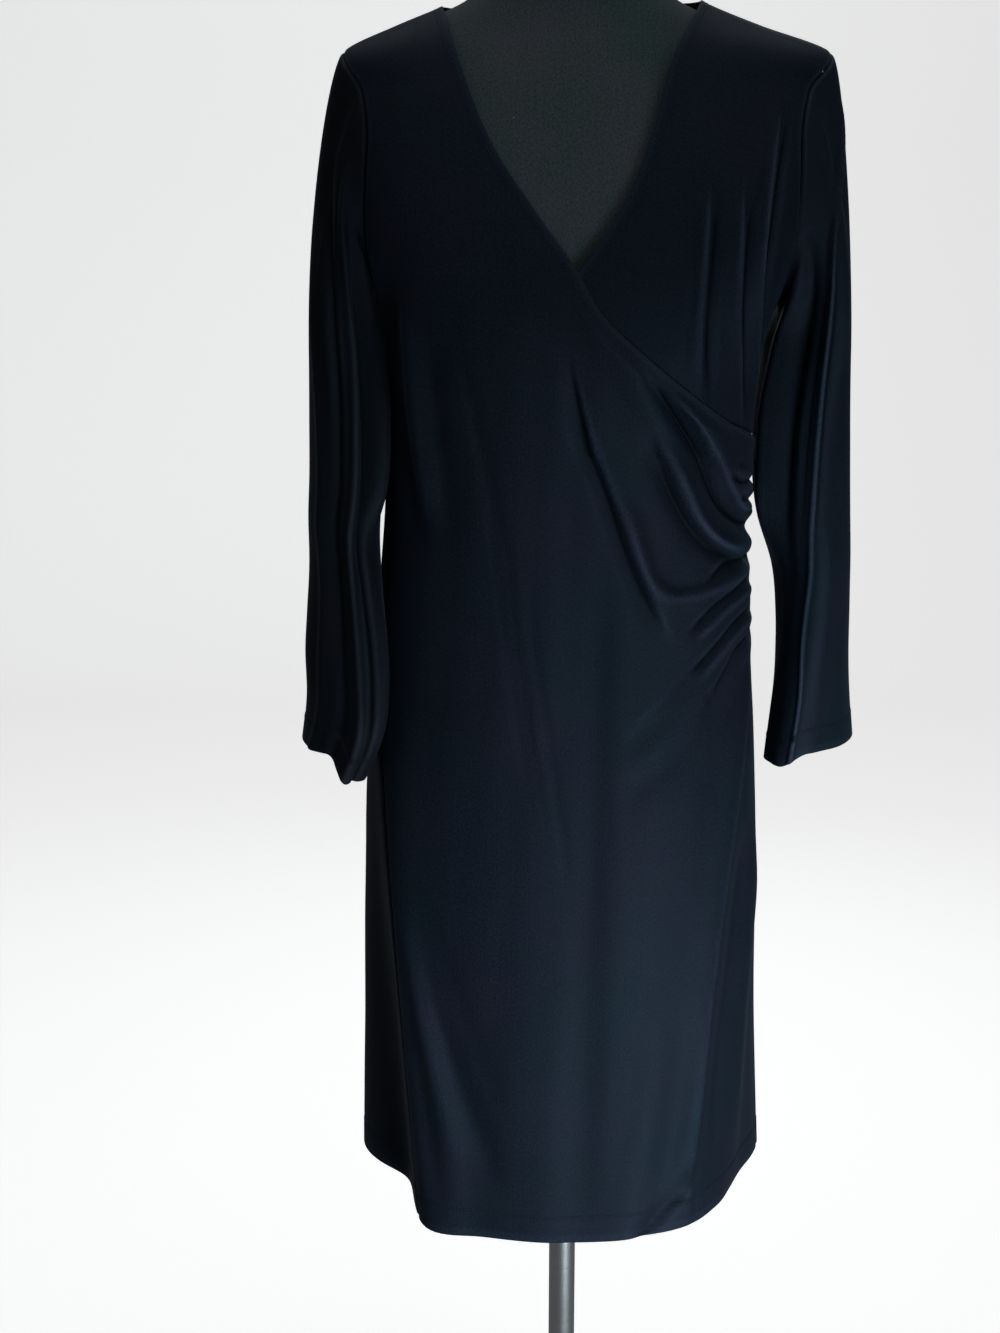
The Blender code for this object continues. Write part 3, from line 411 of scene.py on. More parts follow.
# Creases as routes of (x, height) seen from the front, all in millimetres. Rise is out of the cloth, and
# left and right are the crease's widths on either hand of someone walking along it.
Crease = namedtuple("Crease", "name rise left right route")
CREASE_ENDS = 0.28  # share of a route over which a crease comes and goes
WRAP_CREASES = [Crease(*row) for row in (
    ("first valley", -9.5, 3.8, 8.5, ((50, 1201), (66, 1168), (86, 1138), (104, 1111),
        (116, 1085), (127, 1064), (145, 1045), (161, 1035), (184, 1031))),
    ("lip over the first", 5.2, 12, 3.2, ((61, 1196), (82, 1161), (105, 1129), (123, 1096),
        (136, 1070), (152, 1052), (184, 1045))),
    ("upper notch", -2.2, 3.5, 3.5, ((134, 1098), (150, 1092), (184, 1094))),
    ("middle notch", -3.4, 3.5, 4, ((128, 1091), (145, 1077), (184, 1075))),
    ("lower notch", -3.6, 3.2, 3.5, ((140, 1070), (152, 1059), (184, 1055))),
    ("second roll", 5.6, 6, 6.5, ((66, 1130), (82, 1104), (95, 1076), (107, 1050), (123, 1031),
        (145, 1021), (184, 1018))),
    ("second valley", -7, 4, 10, ((58, 1138), (74, 1097), (88, 1066), (105, 1041), (126, 1022),
        (150, 1008), (184, 1004))),
    ("long valley", -4.4, 2.8, 9, ((-7, 1205), (0, 1169), (7, 1138), (14, 1111), (22, 1093),
        (32, 1066), (48, 1021), (66, 978), (88, 934))),
    ("roll beside it", 3.6, 13, 3.6, ((4, 1172), (20, 1112), (38, 1067), (54, 1022), (72, 980),
        (92, 940))),
    ("third roll", 4, 6, 8.5, ((40, 1076), (47, 1056), (54, 1030), (64, 1002), (80, 988),
        (100, 986), (126, 990), (150, 995), (184, 996))),
    ("first pleat", -3.6, 3.5, 5.5, ((112, 993), (126, 1004), (141, 1008), (161, 1007),
        (184, 1006))),
    ("second pleat", -3.4, 3.2, 6, ((96, 948), (108, 961), (124, 975), (142, 985), (159, 990),
        (184, 991))),
    ("roll under the second pleat", 2.2, 3.4, 6, ((104, 946), (122, 960), (146, 975),
        (184, 981))),
    ("third pleat", -3.2, 3.2, 6, ((100, 916), (113, 927), (130, 943), (148, 958), (184, 968))),
    ("roll under the third pleat", 2, 3.4, 6, ((108, 908), (128, 930), (150, 948), (184, 958))),
    ("fourth pleat", -2.9, 3.2, 6, ((106, 868), (122, 894), (137, 918), (150, 934), (184, 944))),
    ("fifth pleat", -2.6, 3.4, 6, ((128, 856), (140, 878), (150, 898), (158, 914), (184, 926))),
    ("upper slack fold", -3, 7, 11, ((40, 850), (62, 872), (84, 893), (102, 914), (130, 944))),
    ("lower slack fold", -2.6, 8, 12, ((36, 806), (62, 830), (87, 849), (110, 872), (140, 906))),
    ("hanging ridge", 6.8, 3.4, 15, ((164, 938), (157, 891), (147, 824), (138, 756), (129, 687),
        (121, 616), (114, 536), (108, 470), (104, 385))),
    ("hanging valley", -6.2, 8, 10, ((164, 785), (160, 745), (154, 700), (145, 631), (137, 560),
        (132, 480), (130, 380))),
    ("outer hanging ridge", 4, 7, 7, ((170, 816), (170, 728), (164, 659), (158, 577), (152, 490),
        (150, 390))),
    ("valley above the hem", -2.4, 9, 14, ((112, 640), (102, 560), (92, 500), (80, 450),
        (66, 350))),
    ("dent above the hem", -4.5, 5, 8, ((120, 484), (106, 463), (90, 446), (70, 428), (56, 416))),
    ("roll above the hem", 1.4, 13, 13, ((84, 640), (74, 560), (62, 500), (50, 440), (34, 340))),
    ("middle hollow", -3.5, 20, 26, ((10, 1060), (17, 945), (17, 816), (14, 640), (12, 460),
        (12, 380))),
    ("armhole valley", -7, 10, 10, ((-154, 1290), (-151, 1232), (-150, 1180), (-146, 1130),
        (-138, 1070), (-126, 1010))),
    ("armhole ridge", 5.5, 10, 9, ((-138, 1250), (-133, 1200), (-129, 1145), (-122, 1080),
        (-116, 1030))),
    ("second armhole valley", -2.5, 9, 10, ((-118, 1210), (-113, 1150), (-106, 1080),
        (-100, 1020))),
    ("right drape, inner", -4.5, 12, 12, ((-150, 747), (-140, 697), (-128, 660), (-118, 621),
        (-106, 592), (-96, 561), (-70, 490), (-58, 440))),
    ("right drape, ridge", 3.5, 9, 9, ((-152, 740), (-143, 690), (-132, 640), (-118, 575),
        (-104, 510), (-94, 440))),
    ("right drape, outer", -3.8, 8, 8, ((-158, 730), (-150, 670), (-139, 600), (-128, 540),
        (-118, 470), (-112, 400))),
    ("right drape, faint", -1.8, 10, 10, ((-140, 760), (-120, 692), (-98, 632), (-74, 571),
        (-50, 520))),
    ("first slack line", -1.1, 4, 3.2, ((-102, 1240), (-94, 1200), (-83, 1150), (-74, 1100),
        (-67, 1050), (-60, 987), (-52, 927), (-43, 867), (-32, 805), (-20, 735))),
    ("second slack line", -1, 3.2, 4, ((-90, 1215), (-79, 1155), (-69, 1105), (-61, 1060),
        (-54, 1020), (-49, 970), (-41, 910), (-33, 860), (-22, 800), (-14, 755))),
    ("third slack line", -0.8, 4, 5, ((-40, 1020), (-30, 940), (-18, 860), (-6, 780), (0, 700))),
    ("pull from the bust", 2.2, 12, 16, ((0, 1235), (32, 1196), (62, 1150), (90, 1102))),
)]

# How far the gathers push the wearer's left side seam in and out.
SeamWave = namedtuple("SeamWave", "height rise")
SEAM_WAVES = [SeamWave(*row) for row in (
    (1.120, 0.0), (1.104, 0.0020), (1.095, -0.0008), (1.085, 0.0028), (1.075, -0.0030), (1.064, 0.0032),
    (1.055, -0.0026), (1.044, 0.0036), (1.031, -0.0036), (1.018, 0.0010), (1.005, -0.0014),
    (0.992, 0.0006), (0.978, -0.0012), (0.964, 0.0008), (0.948, -0.0008), (0.930, 0.0010), (0.905, 0.0),
)]
SLACK = 0.00045  # height of the waves in slack cloth
BAND_RISE = 0.00035  # a turned and doubled edge stands up by this much
FURROW_DEPTH = 0.00030  # and a needle's furrow in it goes down
FURROW_WIDTH = 0.0006
MARK_REACH = 0.020  # the marks for the material measure no further than this
EDGE_ROUND = 0.0010
EDGE_RUN = 0.012  # length over which a turned edge passes into a seam
UNEVEN = 1.7  # rows stand closer near the shoulder by this power
GRAIN_TURN = 200  # degrees to either side that the table of the grain covers
WRAP_ROW_COUNTS = (50, 100, 104, 48)
WRAP_COLUMNS = 130
GATHER_CROWDING = 0.62
NAVY = (0.0072, 0.0098, 0.0166)
WALE = 0.0013


def fade(value, start, end):
    """0 before start, 1 after end, and a smooth step between."""
    t = np.clip((value - start) / (end - start), 0, 1)
    return t * t * (3 - 2 * t)


def bell(distance, width):
    """1 at no distance, falling to 0 on both sides like a bell: exp(-(distance / width)^2)."""
    return np.exp(-((distance / width) ** 2))


def turned_to(angle):
    """An angle brought between -180 and 180."""
    return (angle + 180) % 360 - 180


def unit(vectors):
    """Vectors brought to a length of 1."""
    return vectors / np.maximum(length_of(vectors), 1e-12)[..., None]


def body(angle, height):
    """The dress's inner surface before its creases: the section at that height, and the drapes."""
    angle, height = np.broadcast_arrays(np.asarray(angle, float), np.asarray(height, float))
    sizes = [column(SECTIONS, name, height) for name in ("left", "right", "front", "back", "square")]
    reach = outline(angle, *sizes)
    for drape in DRAPES:
        share = np.clip((drape.top - height) / (drape.top - HEM), 0, 1.03)
        middle = drape.top_angle + (drape.hem_angle - drape.top_angle) * share
        reach = reach + drape.rise * share * bell(turned_to(angle - middle), drape.width)
    return placed(reach, angle, height)


def body_normal(angle, height):
    """Outward direction of the body surface, from its slopes round and up."""
    around = body(np.add(angle, 0.5), height) - body(np.add(angle, -0.5), height)
    up = body(angle, np.add(height, 0.002)) - body(angle, np.add(height, -0.002))
    return unit(np.cross(up, around))


def halved(wanted, low, high):
    """Where a rising function reaches nothing: the range is halved until it closes on the place."""
    low, high = np.broadcast_arrays(np.asarray(low, float), np.asarray(high, float))
    for _ in range(34):
        middle = (low + high) / 2
        under = wanted(middle) < 0
        low, high = np.where(under, middle, low), np.where(under, high, middle)
    return (low + high) / 2


def angle_at_x(x, height):
    """The angle on the front where the body reaches x at that height."""
    span = 0 * np.asarray(height, float)
    return halved(lambda angle: body(angle, height)[..., 0] - x, span + 180, span)


def angle_at_y(side, y, height):
    """The angle on one side (+1 wearer's left, -1 right) where the body reaches y at that height."""
    span = 0 * np.asarray(height, float)
    start, end = (80, -80) if side > 0 else (100, 260)
    return halved(lambda angle: body(angle, height)[..., 1] - y, span + start, span + end)


def creased(creases, x, height):
    """Sum of the creases at points seen from the front.

    Each crease is its rise times a bell of the distance from its route, with one width on its left
    hand and one on its right, and it fades in and out over the first and last part of the route.
    """
    total = np.zeros(np.shape(x))
    for crease in creases:
        route = np.array(crease.route) / 1000
        rise, left, right = crease.rise / 1000, crease.left / 1000, crease.right / 1000
        spot = np.stack([x, height], axis=-1)
        reach = 3 * max(left, right)
        near = ((spot > route.min(axis=0) - reach) & (spot < route.max(axis=0) + reach)).all(axis=-1)
        at = np.linspace(0, len(route) - 1, 5 * len(route))
        line = np.stack([flowing(np.arange(len(route)), way, at) for way in route.T], axis=-1)
        start, step = line[:-1], np.diff(line, axis=0)
        offset = spot[near][:, None, :] - start
        t = np.clip((offset * step).sum(-1) / (step**2).sum(-1), 0, 1)
        gap = length_of(offset - t[..., None] * step)
        pick = (np.arange(len(gap)), gap.argmin(-1))
        turn = step[:, 0] * offset[..., 1] - step[:, 1] * offset[..., 0]
        width = np.where(turn[pick] > 0, left, right)
        along = (pick[1] + t[pick]) / len(step)
        ends = fade(along, 0, CREASE_ENDS) * fade(-along, -1, CREASE_ENDS - 1)
        total[near] += rise * ends * bell(gap[pick], width)
    return total


def seam_angle(side, height):
    """Side seam: it hangs straight on the wearer's left and swings to the front on the right."""
    return 0 * height if side > 0 else column(RIGHT_SEAM, "angle", height)


def off_seams(angle, height):
    """0 at either side seam, rising to 1 away from it."""
    right = np.abs(angle - seam_angle(-1, height))
    return fade(np.abs(turned_to(angle)), 0, SEAM_CALM) * fade(right, 0, SEAM_CALM)


def gathered_seam(angle, height, reach):
    """The gathers' push on the wearer's left side seam, dying out over a reach in degrees."""
    return column(SEAM_WAVES, "rise", height) * (1 - fade(np.abs(turned_to(angle)), 0, reach))


def slack(angle, height, seed):
    """Slow unevenness of hanging cloth: three crossing waves that lean with the height."""
    first = np.sin(np.radians(angle) * 5.0 + height * 9.0 + seed)
    second = np.sin(np.radians(angle) * 9.0 - height * 14.0 + 2.1 * seed)
    third = np.sin(np.radians(angle) * 15.0 + height * 23.0 + 0.7 * seed)
    return SLACK * (first + 7 / 9 * second * third)


def wrap_rise(angle, height):
    """Creases of the wrap, its free edge standing off the bodice under it, and its slackness."""
    point = body(angle, height)
    inside = column(WRAP_EDGE, "x", height) - point[..., 0]
    lift = LAP_LIFT * fade(-height, -V_POINT - 0.038, -V_POINT) * (1 - fade(inside, 0.010, 0.070))
    calm = off_seams(angle, height)
    folds = creased(WRAP_CREASES, point[..., 0], height)
    folds = np.where(folds > 0, fade(inside, 0.002, 0.024), fade(inside, 0.004, 0.034)) * folds
    uneven = slack(angle, height, 1.0) * fade(inside, 0.01, 0.06)
    return lift + calm * (folds + uneven) + gathered_seam(angle, height, 11)


def hem_height(angle):
    """The hem rises a little towards both sides."""
    return HEM + HEM_SIDE_RISE * cosine(angle) ** 2


def armhole(side, turn):
    """(angle, height) on the armhole: turn 0 is the shoulder tip, 90 the front, 180 the underarm."""
    reach = np.where(sine(turn) > 0, ARMHOLE_FRONT, ARMHOLE_BACK)
    height = (SHOULDER_TIP + UNDERARM) / 2 + (SHOULDER_TIP - UNDERARM) / 2 * cosine(turn)
    return angle_at_y(side, -reach * sine(turn), height), height


def eased(count, crowding=1):
    """Shares of a way from 0 to 1, closer together at its start if crowding is over 1."""
    return np.linspace(0, 1, count + 1)[1:] ** crowding


def along_edge(count, top, foot):
    """Shares of the way down from top to foot for rows at even steps along the wrap's free edge."""
    angle, heights = free_edge(1, WRAP_EDGE, foot, np.linspace(top, foot, 401))[1:].T
    length = arc(body(angle, heights), 0)
    rows = np.interp(np.linspace(0, length[-1], count + 1), length, heights)
    return (top - rows[1:]) / (top - foot)


def down(top, stretches, foot):
    """Heights of rows down one side: stretches of (end, shares of the way there), then the hem's rows."""
    heights = np.array([top])
    for end, shares in stretches:
        heights = np.append(heights, heights[-1] + (end - heights[-1]) * shares)
    return np.append(heights, foot + HEM_BAND[-2::-1]) if foot else heights


def seam_room(height):
    """Half the gap at a side seam in degrees; below the form it turns into a lap."""
    room = SEAM_GAP - (SEAM_GAP + SEAM_LAP) * fade(-height, -LAP_TOP, 0.08 - LAP_TOP)
    return np.degrees(room / 2 / column(SECTIONS, "right", height))


def side_edge(side, face, heights, first):
    """A panel's edge down one side, armhole then side seam. face is +1 in front and -1 behind."""
    angle, height = armhole(side, face * np.linspace(0, 180, first + 1))
    below = heights[first + 1 :]
    angle = np.append(angle, seam_angle(side, below))
    height = np.append(height, below)
    gap = seam_room(height)
    gap[1:first] = 0
    return np.stack([angle + side * face * gap, height], axis=-1)


def free_edge(side, table, end, heights):
    """A front's edge down the V neck and the wrap, then down the side seam that it meets at the end."""
    gap = seam_room(heights)
    seam = seam_angle(side, heights) + side * gap
    free = angle_at_x(column(table, "x", heights), heights)
    fall = EDGE_FALL * np.maximum(heights - end - EDGE_LANDING, 0)
    angle = seam + side * np.clip(side * (free - seam), 0, fall)
    angle[0] = (180 - gap[0]) if side > 0 else gap[0]
    return np.stack([angle, heights], axis=-1)


def between(right_edge, left_edge, columns, crowding):
    """(angle, height) grid whose rows run straight from the right edge to the left edge.

    The outer columns keep the fixed distances of EDGE_BAND, measured square to the edge, and the
    rest share the room between them. With the grid come its columns' distances from both edges.
    """
    rough = np.linspace(right_edge, left_edge, 25, axis=1)
    points = body(rough[..., 0], rough[..., 1])
    length = arc(points, 1)[:, -1:]
    window = np.hanning(31) / np.hanning(31).sum()
    square = []
    for end, inner in ((0, 1), (-1, -2)):
        run = np.gradient(points[:, end], axis=0)
        across = points[:, inner] - points[:, end]
        slope = length_of(np.cross(unit(run), unit(across)))
        slope = np.pad(np.clip(slope, 0.40, 1), len(window) // 2, "edge")
        square.append(np.convolve(slope, window, "valid")[:, None] * length)
    near = EDGE_BAND / square[0]
    far = 1 - EDGE_BAND / square[1]
    even = np.linspace(0, 1, columns + 1)[1:-1]
    even = even * (1 + crowding * (1 - even))
    middle = near[:, -1:] + (far[:, -1:] - near[:, -1:]) * even
    share = np.concatenate([near, middle, far[:, ::-1]], axis=1)
    grid = right_edge[:, None] * (1 - share[..., None]) + left_edge[:, None] * share[..., None]
    return grid, share * square[0], (1 - share) * square[1]


def to_hem(grid):
    """The grid with its lower part let down or up until its hem rows run along the hem."""
    low = grid[-1]
    share = fade(-grid[..., 1], -0.80, -(HEM + 0.045))
    grid[..., 1] += share * (hem_height(low[:, 0]) - low[:, 1])
    return grid


def grain(angle, height, middle):
    """Distance round the body from the panel's middle at each height, so that wales run straight down.

    It is read off a table with an entry at each degree and every two centimetres up.
    """
    turns = np.linspace(-GRAIN_TURN, GRAIN_TURN, 2 * GRAIN_TURN + 1)
    levels = np.linspace(0.40, 1.50, 56)
    length = arc(body(middle + turns[None, :], levels[:, None]), 1)
    length -= length[:, GRAIN_TURN : GRAIN_TURN + 1]
    a = np.clip(angle - middle - turns[0], 0, len(turns) - 1.01)
    h = np.clip((height - levels[0]) / (levels[1] - levels[0]), 0, len(levels) - 1.01)
    a0, h0 = a.astype(int), h.astype(int)
    rows = (h0, h0 + 1)
    low, high = (length[row, a0] * (1 - a + a0) + length[row, a0 + 1] * (a - a0) for row in rows)
    return low + (high - low) * (h - h0)


def from_ends(points, axis=0):
    """Distances along a grid's lines from their start and from their end."""
    return arc(points, axis), np.flip(arc(np.flip(points, axis), axis), axis)


def turned_hem(distance, depth):
    """Relief of a turned and twin-stitched hem: a doubled band, and a furrow along each needle."""
    band = BAND_RISE * (1 - fade(distance, depth, depth + 0.0015))
    furrows = bell(distance - depth, FURROW_WIDTH) + bell(distance - depth + NEEDLES, FURROW_WIDTH)
    return band - FURROW_DEPTH * furrows


def seam_dip(distance):
    """Relief of a sewn seam: the edge turns in over the last few millimetres."""
    return -SEAM_DIP * bell(distance, SEAM_DIP_REACH)


def hem_marks(edge, depth, shut=0):
    """Distances to the nearer needle and to the turned edge, for the material; none where shut is 1."""
    line = np.minimum(np.abs(edge - depth), np.abs(edge - depth + NEEDLES)) + shut
    return {"stitch_line": np.clip(line, 0, MARK_REACH), "turned_edge": np.clip(edge + shut, 0, MARK_REACH)}


def edging(edge, free, dips, from_hem=None):
    """Relief and marks of a panel: an edge turned where free is 1 and sewn where it is 0, and a hem."""
    relief = free * turned_hem(edge, NECK_HEM) + (1 - free) * seam_dip(edge) + dips
    marks = hem_marks(edge, NECK_HEM, 1 - free)
    if from_hem is not None:
        relief += turned_hem(from_hem, HEM_DEPTH)
        low = hem_marks(from_hem, HEM_DEPTH)
        marks = {name: np.minimum(value, low[name]) for name, value in marks.items()}
    return relief, marks


def rounded(distance):
    """Share of the cloth's thickness near an edge: it closes like a quarter circle in a millimetre."""
    near = np.clip(distance / EDGE_ROUND, 0, 1)
    return np.sqrt(near * (2 - near)) * 0.96 + 0.04


def grid_normal(points, tube=False):
    """Directions square to a surface, from its slopes across and down; a tube's columns join up."""
    wide = np.concatenate([points[:, -2:], points, points[:, :2]], axis=1) if tube else points
    across = np.gradient(wide, axis=1)
    return unit(np.cross(across[:, 2:-2] if tube else across, np.gradient(points, axis=0)))


def bending(points, normal):
    """How sharply a grid bends outward, in 1/m: the normal's turn over its steps, both ways added up."""
    total = 0
    for axis in (0, 1):
        step = np.gradient(points, axis=axis)
        turn = np.gradient(normal, axis=axis)
        total = total + (step * turn).sum(-1) / np.maximum((step**2).sum(-1), 1e-8)
    return total


def shell_quads(index, lift, edges):
    """Faces of a skin: the outer grid, the inner one turned over, and strips along the open edges."""
    faces = [grid_quads(index), grid_quads(index + lift)[:, ::-1]]
    for edge in edges:
        out = index[edge]
        faces.append(np.stack([out[:-1], out[1:], out[1:] + lift, out[:-1] + lift], axis=-1))
    return np.concatenate(faces)


def skin(name, middle, half, cloth, marks, material, tube=False):
    """A piece of cloth as one closed skin.

    Each point of the middle surface goes half the thickness out along the surface's own normal for
    the outer face and in for the inner face, and strips join the two along the open edges.
    """
    normal = grid_normal(middle, tube)
    centre = middle.mean(axis=1, keepdims=True) if tube else 0
    normal *= np.sign((normal * (middle - centre) * np.array([1, 1, 0])).sum())
    marks["bend"] = bending(middle, normal)
    number = numbered(*half.shape)
    edges = [np.s_[0], np.s_[-1, ::-1], np.s_[::-1, 0], np.s_[:, -1]]
    if tube:
        wide = [np.concatenate([part[:, -1:], closed(part)], axis=1) for part in (middle, normal)]
        marks["bend"] = bending(*wide)[:, 1:-1]
        number = closed(number)
        edges = edges[:2]
    outer = middle + normal * half[..., None]
    inner = middle - normal * half[..., None]
    # The faces' corners run whichever way round makes the outer face look outward.
    first = outer.reshape(-1, 3)[grid_quads(number)[:, [0, 1, 3]]]
    facing = np.cross(first[:, 1] - first[:, 0], first[:, 2] - first[:, 0])
    way = np.sign((facing * normal[:-1, : number.shape[1] - 1].reshape(-1, 3)).sum()).astype(int)
    quads = shell_quads(number, half.size, edges)[:, ::way]
    corners = cloth.reshape(-1, 2)[shell_quads(numbered(*cloth.shape[:2]), 0, edges)[:, ::way]]
    piece = mesh_piece(name, np.stack([outer, inner]), quads, material, corners)
    for label, values in marks.items():
        layer = piece.data.attributes.new(label, "FLOAT", "POINT")
        layer.data.foreach_set("value", np.tile(values.ravel(), 2).astype(np.float32))
    return piece, outer, normal


def slinky_material(name, colour, streaks=0.30):
    """Slinky knit: near black navy, finely ribbed along the wales, with a soft bluish lustre.

    Its colour carries painted light: a painted sheen where cloth is doubled and pressed, painted
    highlights on the crests of folds, and painted shade in the furrows of the stitching and in hollows.
    """
    material, tree, shader = new_material(name)
    knit = knit_node(tree, colour, WALE, streaks, 0.30, 0.62)
    stitch, edge, bend = (
        add(tree, "Attribute", attribute_name=label).outputs["Fac"]
        for label in ("stitch_line", "turned_edge", "bend"))
    # Painted sheen: the doubled band along a turned edge is made paler, mixed up to 0.45 towards 1.9 times
    # the knit's colour.
    pressed = ramp(tree, edge, 0.0055, 0.0085, 0.45, 0.0)
    # Painted shade: along the needles' furrows the colour darkens towards 0.85 of the knit's own; the same
    # mask also sinks the bump there.
    furrow = ramp(tree, stitch, 0.0, 0.0012, 1.0, 0.0)
    plain = ramp(tree, stitch, 0.0015, 0.0030)
    # Painted highlight: where the surface bends outward, on the crests of folds, the colour is made paler,
    # up to 3.4 times the knit's own.
    painted_crest_highlight = math(tree, "MULTIPLY", ramp(tree, bend, 25.0, 330.0), plain)
    # Painted shade: where the surface bends inward, in hollows and the valleys of folds, the colour is
    # darkened towards 0.06 times the knit's own.
    hollow = math(tree, "MULTIPLY", ramp(tree, bend, -15.0, -200.0, 0.0, 0.90), plain)
    # The masks mix the knit's colour towards multiples of it: the edge's painted sheen, the furrows'
    # painted shade, the crests' painted highlight and the hollows' painted shade.
    toned = knit["Colour"]
    for share, strength in ((pressed, 1.9), (furrow, 0.85), (painted_crest_highlight, 3.4), (hollow, 0.06)):
        toned = shade(tree, share, toned, scaled(tree, knit["Colour"], strength))
    height = math(tree, "MULTIPLY_ADD", furrow, -0.8, knit["Height"])
    feed(tree, shader, {
        "Base Color": toned, "Roughness": knit["Roughness"], "Normal": bumped(tree, height, 0.35, 0.00035),
        "Specular IOR Level": 0.10, "Specular Tint": (0.55, 0.75, 1.0, 1), "Sheen Weight": 0.06,
        "Sheen Roughness": 0.35, "Sheen Tint": (0.42, 0.62, 0.90, 1)})
    return material


def body_panel(name, layout, rise, middle_angle, material):
    """A panel on the body, raised by its creases and by the relief of its edges.

    Its layout is a grid of (angle, height), the relief at its points and the material's marks.
    """
    grid, relief, marks = layout
    angle, height = grid[..., 0], grid[..., 1]
    out = rise(angle, height) + CLOTH / 2 + relief
    middle = body(angle, height) + body_normal(angle, height) * out[..., None]
    nearest = np.min([*from_ends(middle, 0), *from_ends(middle, 1)], axis=0)
    cloth = np.stack([grain(angle, height, middle_angle), height], axis=-1)
    return skin(name, middle, HALF_CLOTH * rounded(nearest), cloth, marks, material)


def wrap_front():
    """The wrap's layout, and its points' distance from the free edge."""
    first, second, third, fourth = WRAP_ROW_COUNTS
    shares = eased(first, UNEVEN), along_edge(second, UNDERARM, WRAP_END), eased(third), eased(fourth)
    low = HEM + HEM_BAND[-1]
    right = down(SHOULDER_TIP, zip((UNDERARM, UNDER_END, 0.820, low), shares), HEM)
    left = down(NECK_POINT_RIGHT, zip((UNDERARM, WRAP_END, GATHER_END, low), shares), HEM)
    edges = side_edge(-1, 1, right, first), free_edge(1, WRAP_EDGE, WRAP_END, left)
    grid, from_right, from_left = between(*edges, WRAP_COLUMNS, GATHER_CROWDING)
    grid = to_hem(grid)
    from_top, from_hem = from_ends(body(grid[..., 0], grid[..., 1]))
    free = (1 - fade(-left, -(WRAP_END + EDGE_RUN), -WRAP_END))[:, None]
    dips = seam_dip(from_right) + seam_dip(from_top)
    return (grid, *edging(from_left, free, dips, from_hem)), from_left


wrap_layout, wrap_from_left = wrap_front()
wrap_piece, wrap_outer, wrap_normal = body_panel(
    "front_wrap_cloth", wrap_layout, wrap_rise, 90, slinky_material("Slinky knit, wrap", NAVY))
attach(wrap_piece, "root")
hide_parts("front_wrap")


# ================================= Under front: the covered bodice ================================
# The other front of the bodice, from the wearer's left shoulder down under the wrap to the wearer's
# right side seam. Its V edge is turned and twin-stitched like the wrap's, its lower edge left plain.

UNDER_HEM = 1.040
LAP_DROP = 0.70  # share of the room over the form that covered cloth sinks by
SEAM_DROP = 0.0022  # and what it sinks by at the side seams
UNDER_EDGE = [Edge(*row) for row in (
    (NECK_POINT_LEFT, 0.106), (1.434, 0.084), (1.358, 0.060), (1.313, 0.041), (1.257, 0.002),
    (1.188, -0.058), (1.112, -0.159), (1.000, -0.290),
)]
UNDER_CREASES = [Crease(*row) for row in (
    ("inner ridge", 3.4, 2.2, 8.5, ((109, 1330), (106, 1290), (103, 1245), (101, 1200),
        (103, 1140))),
    ("inner valley", -3.6, 6.5, 3, ((117, 1325), (113, 1285), (110, 1240), (109, 1195),
        (112, 1130))),
    ("outer ridge", 3.8, 2.2, 8, ((137, 1330), (134, 1285), (133, 1235), (136, 1185),
        (143, 1110))),
    ("outer valley", -3.4, 4.5, 2.8, ((145, 1325), (141, 1280), (140, 1230), (142, 1180),
        (148, 1115))),
    ("ridge by the armhole", 4.2, 2.2, 6, ((170, 1395), (162, 1350), (156, 1305), (152, 1255),
        (152, 1205), (153, 1150), (156, 1100))),
    ("valley by the armhole", -2.6, 4, 2.4, ((176, 1390), (168, 1345), (162, 1300), (157, 1250),
        (156, 1200), (158, 1140))),
    ("soft line by the neck", 1.2, 3, 10, ((94, 1280), (90, 1240), (87, 1205), (89, 1165))),
    ("shoulder slack", -1.4, 11, 11, ((150, 1400), (138, 1365), (130, 1330), (124, 1290))),
)]
UNDER_NAVY = (0.0060, 0.0088, 0.0150)
UNDER_ROW_COUNTS = (64, 60, 16)
UNDER_COLUMNS = 104
UNDER_CROWDING = 0.45


def under_rise(angle, height):
    """Creases of the bodice under the wrap, which lies nearer the form where it is covered."""
    point = body(angle, height)
    inside = column(WRAP_EDGE, "x", height) - point[..., 0]
    covered = fade(inside, 0.000, 0.034) * fade(-height, -V_POINT, 0.017 - V_POINT)
    free = creased(UNDER_CREASES, point[..., 0], height) * (1 - fade(inside, -0.010, 0.014))
    calm = off_seams(angle, height)
    drop = LAP_DROP * column(SECTIONS, "ease", height) * calm + SEAM_DROP * (1 - calm)
    return free * calm - covered * drop + gathered_seam(angle, height, 7)


def under_front():
    """The under bodice's layout, and its points' distance from the V edge."""
    first, second, third = UNDER_ROW_COUNTS
    shares = eased(first, UNEVEN), eased(second), eased(third)
    right = down(NECK_POINT_LEFT, zip((UNDERARM, UNDER_END, UNDER_HEM), shares), 0)
    left = down(SHOULDER_TIP, zip((UNDERARM, WRAP_END, UNDER_HEM), shares), 0)
    edges = free_edge(-1, UNDER_EDGE, UNDER_END, right), side_edge(1, 1, left, first)
    grid, from_right, from_left = between(*edges, UNDER_COLUMNS, UNDER_CROWDING)
    from_top = arc(body(grid[..., 0], grid[..., 1]), 0)
    free = (1 - fade(-right, -(UNDER_END + EDGE_RUN), -UNDER_END))[:, None]
    return (grid, *edging(from_right, free, seam_dip(from_left) + seam_dip(from_top))), from_right


under_layout, under_from_right = under_front()
under_piece, under_outer, under_normal = body_panel(
    "front_under_cloth", under_layout, under_rise, 90,
    slinky_material("Slinky knit, under bodice", UNDER_NAVY, 0.40))
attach(under_piece, "root")
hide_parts("front_under")


# =============================================== Back ==============================================
# One panel of the same knit from the shoulder seams and the back neck to the hem. The back neck is
# turned and twin-stitched, the hem cover-stitched, and slack cloth sags over the small of the back.

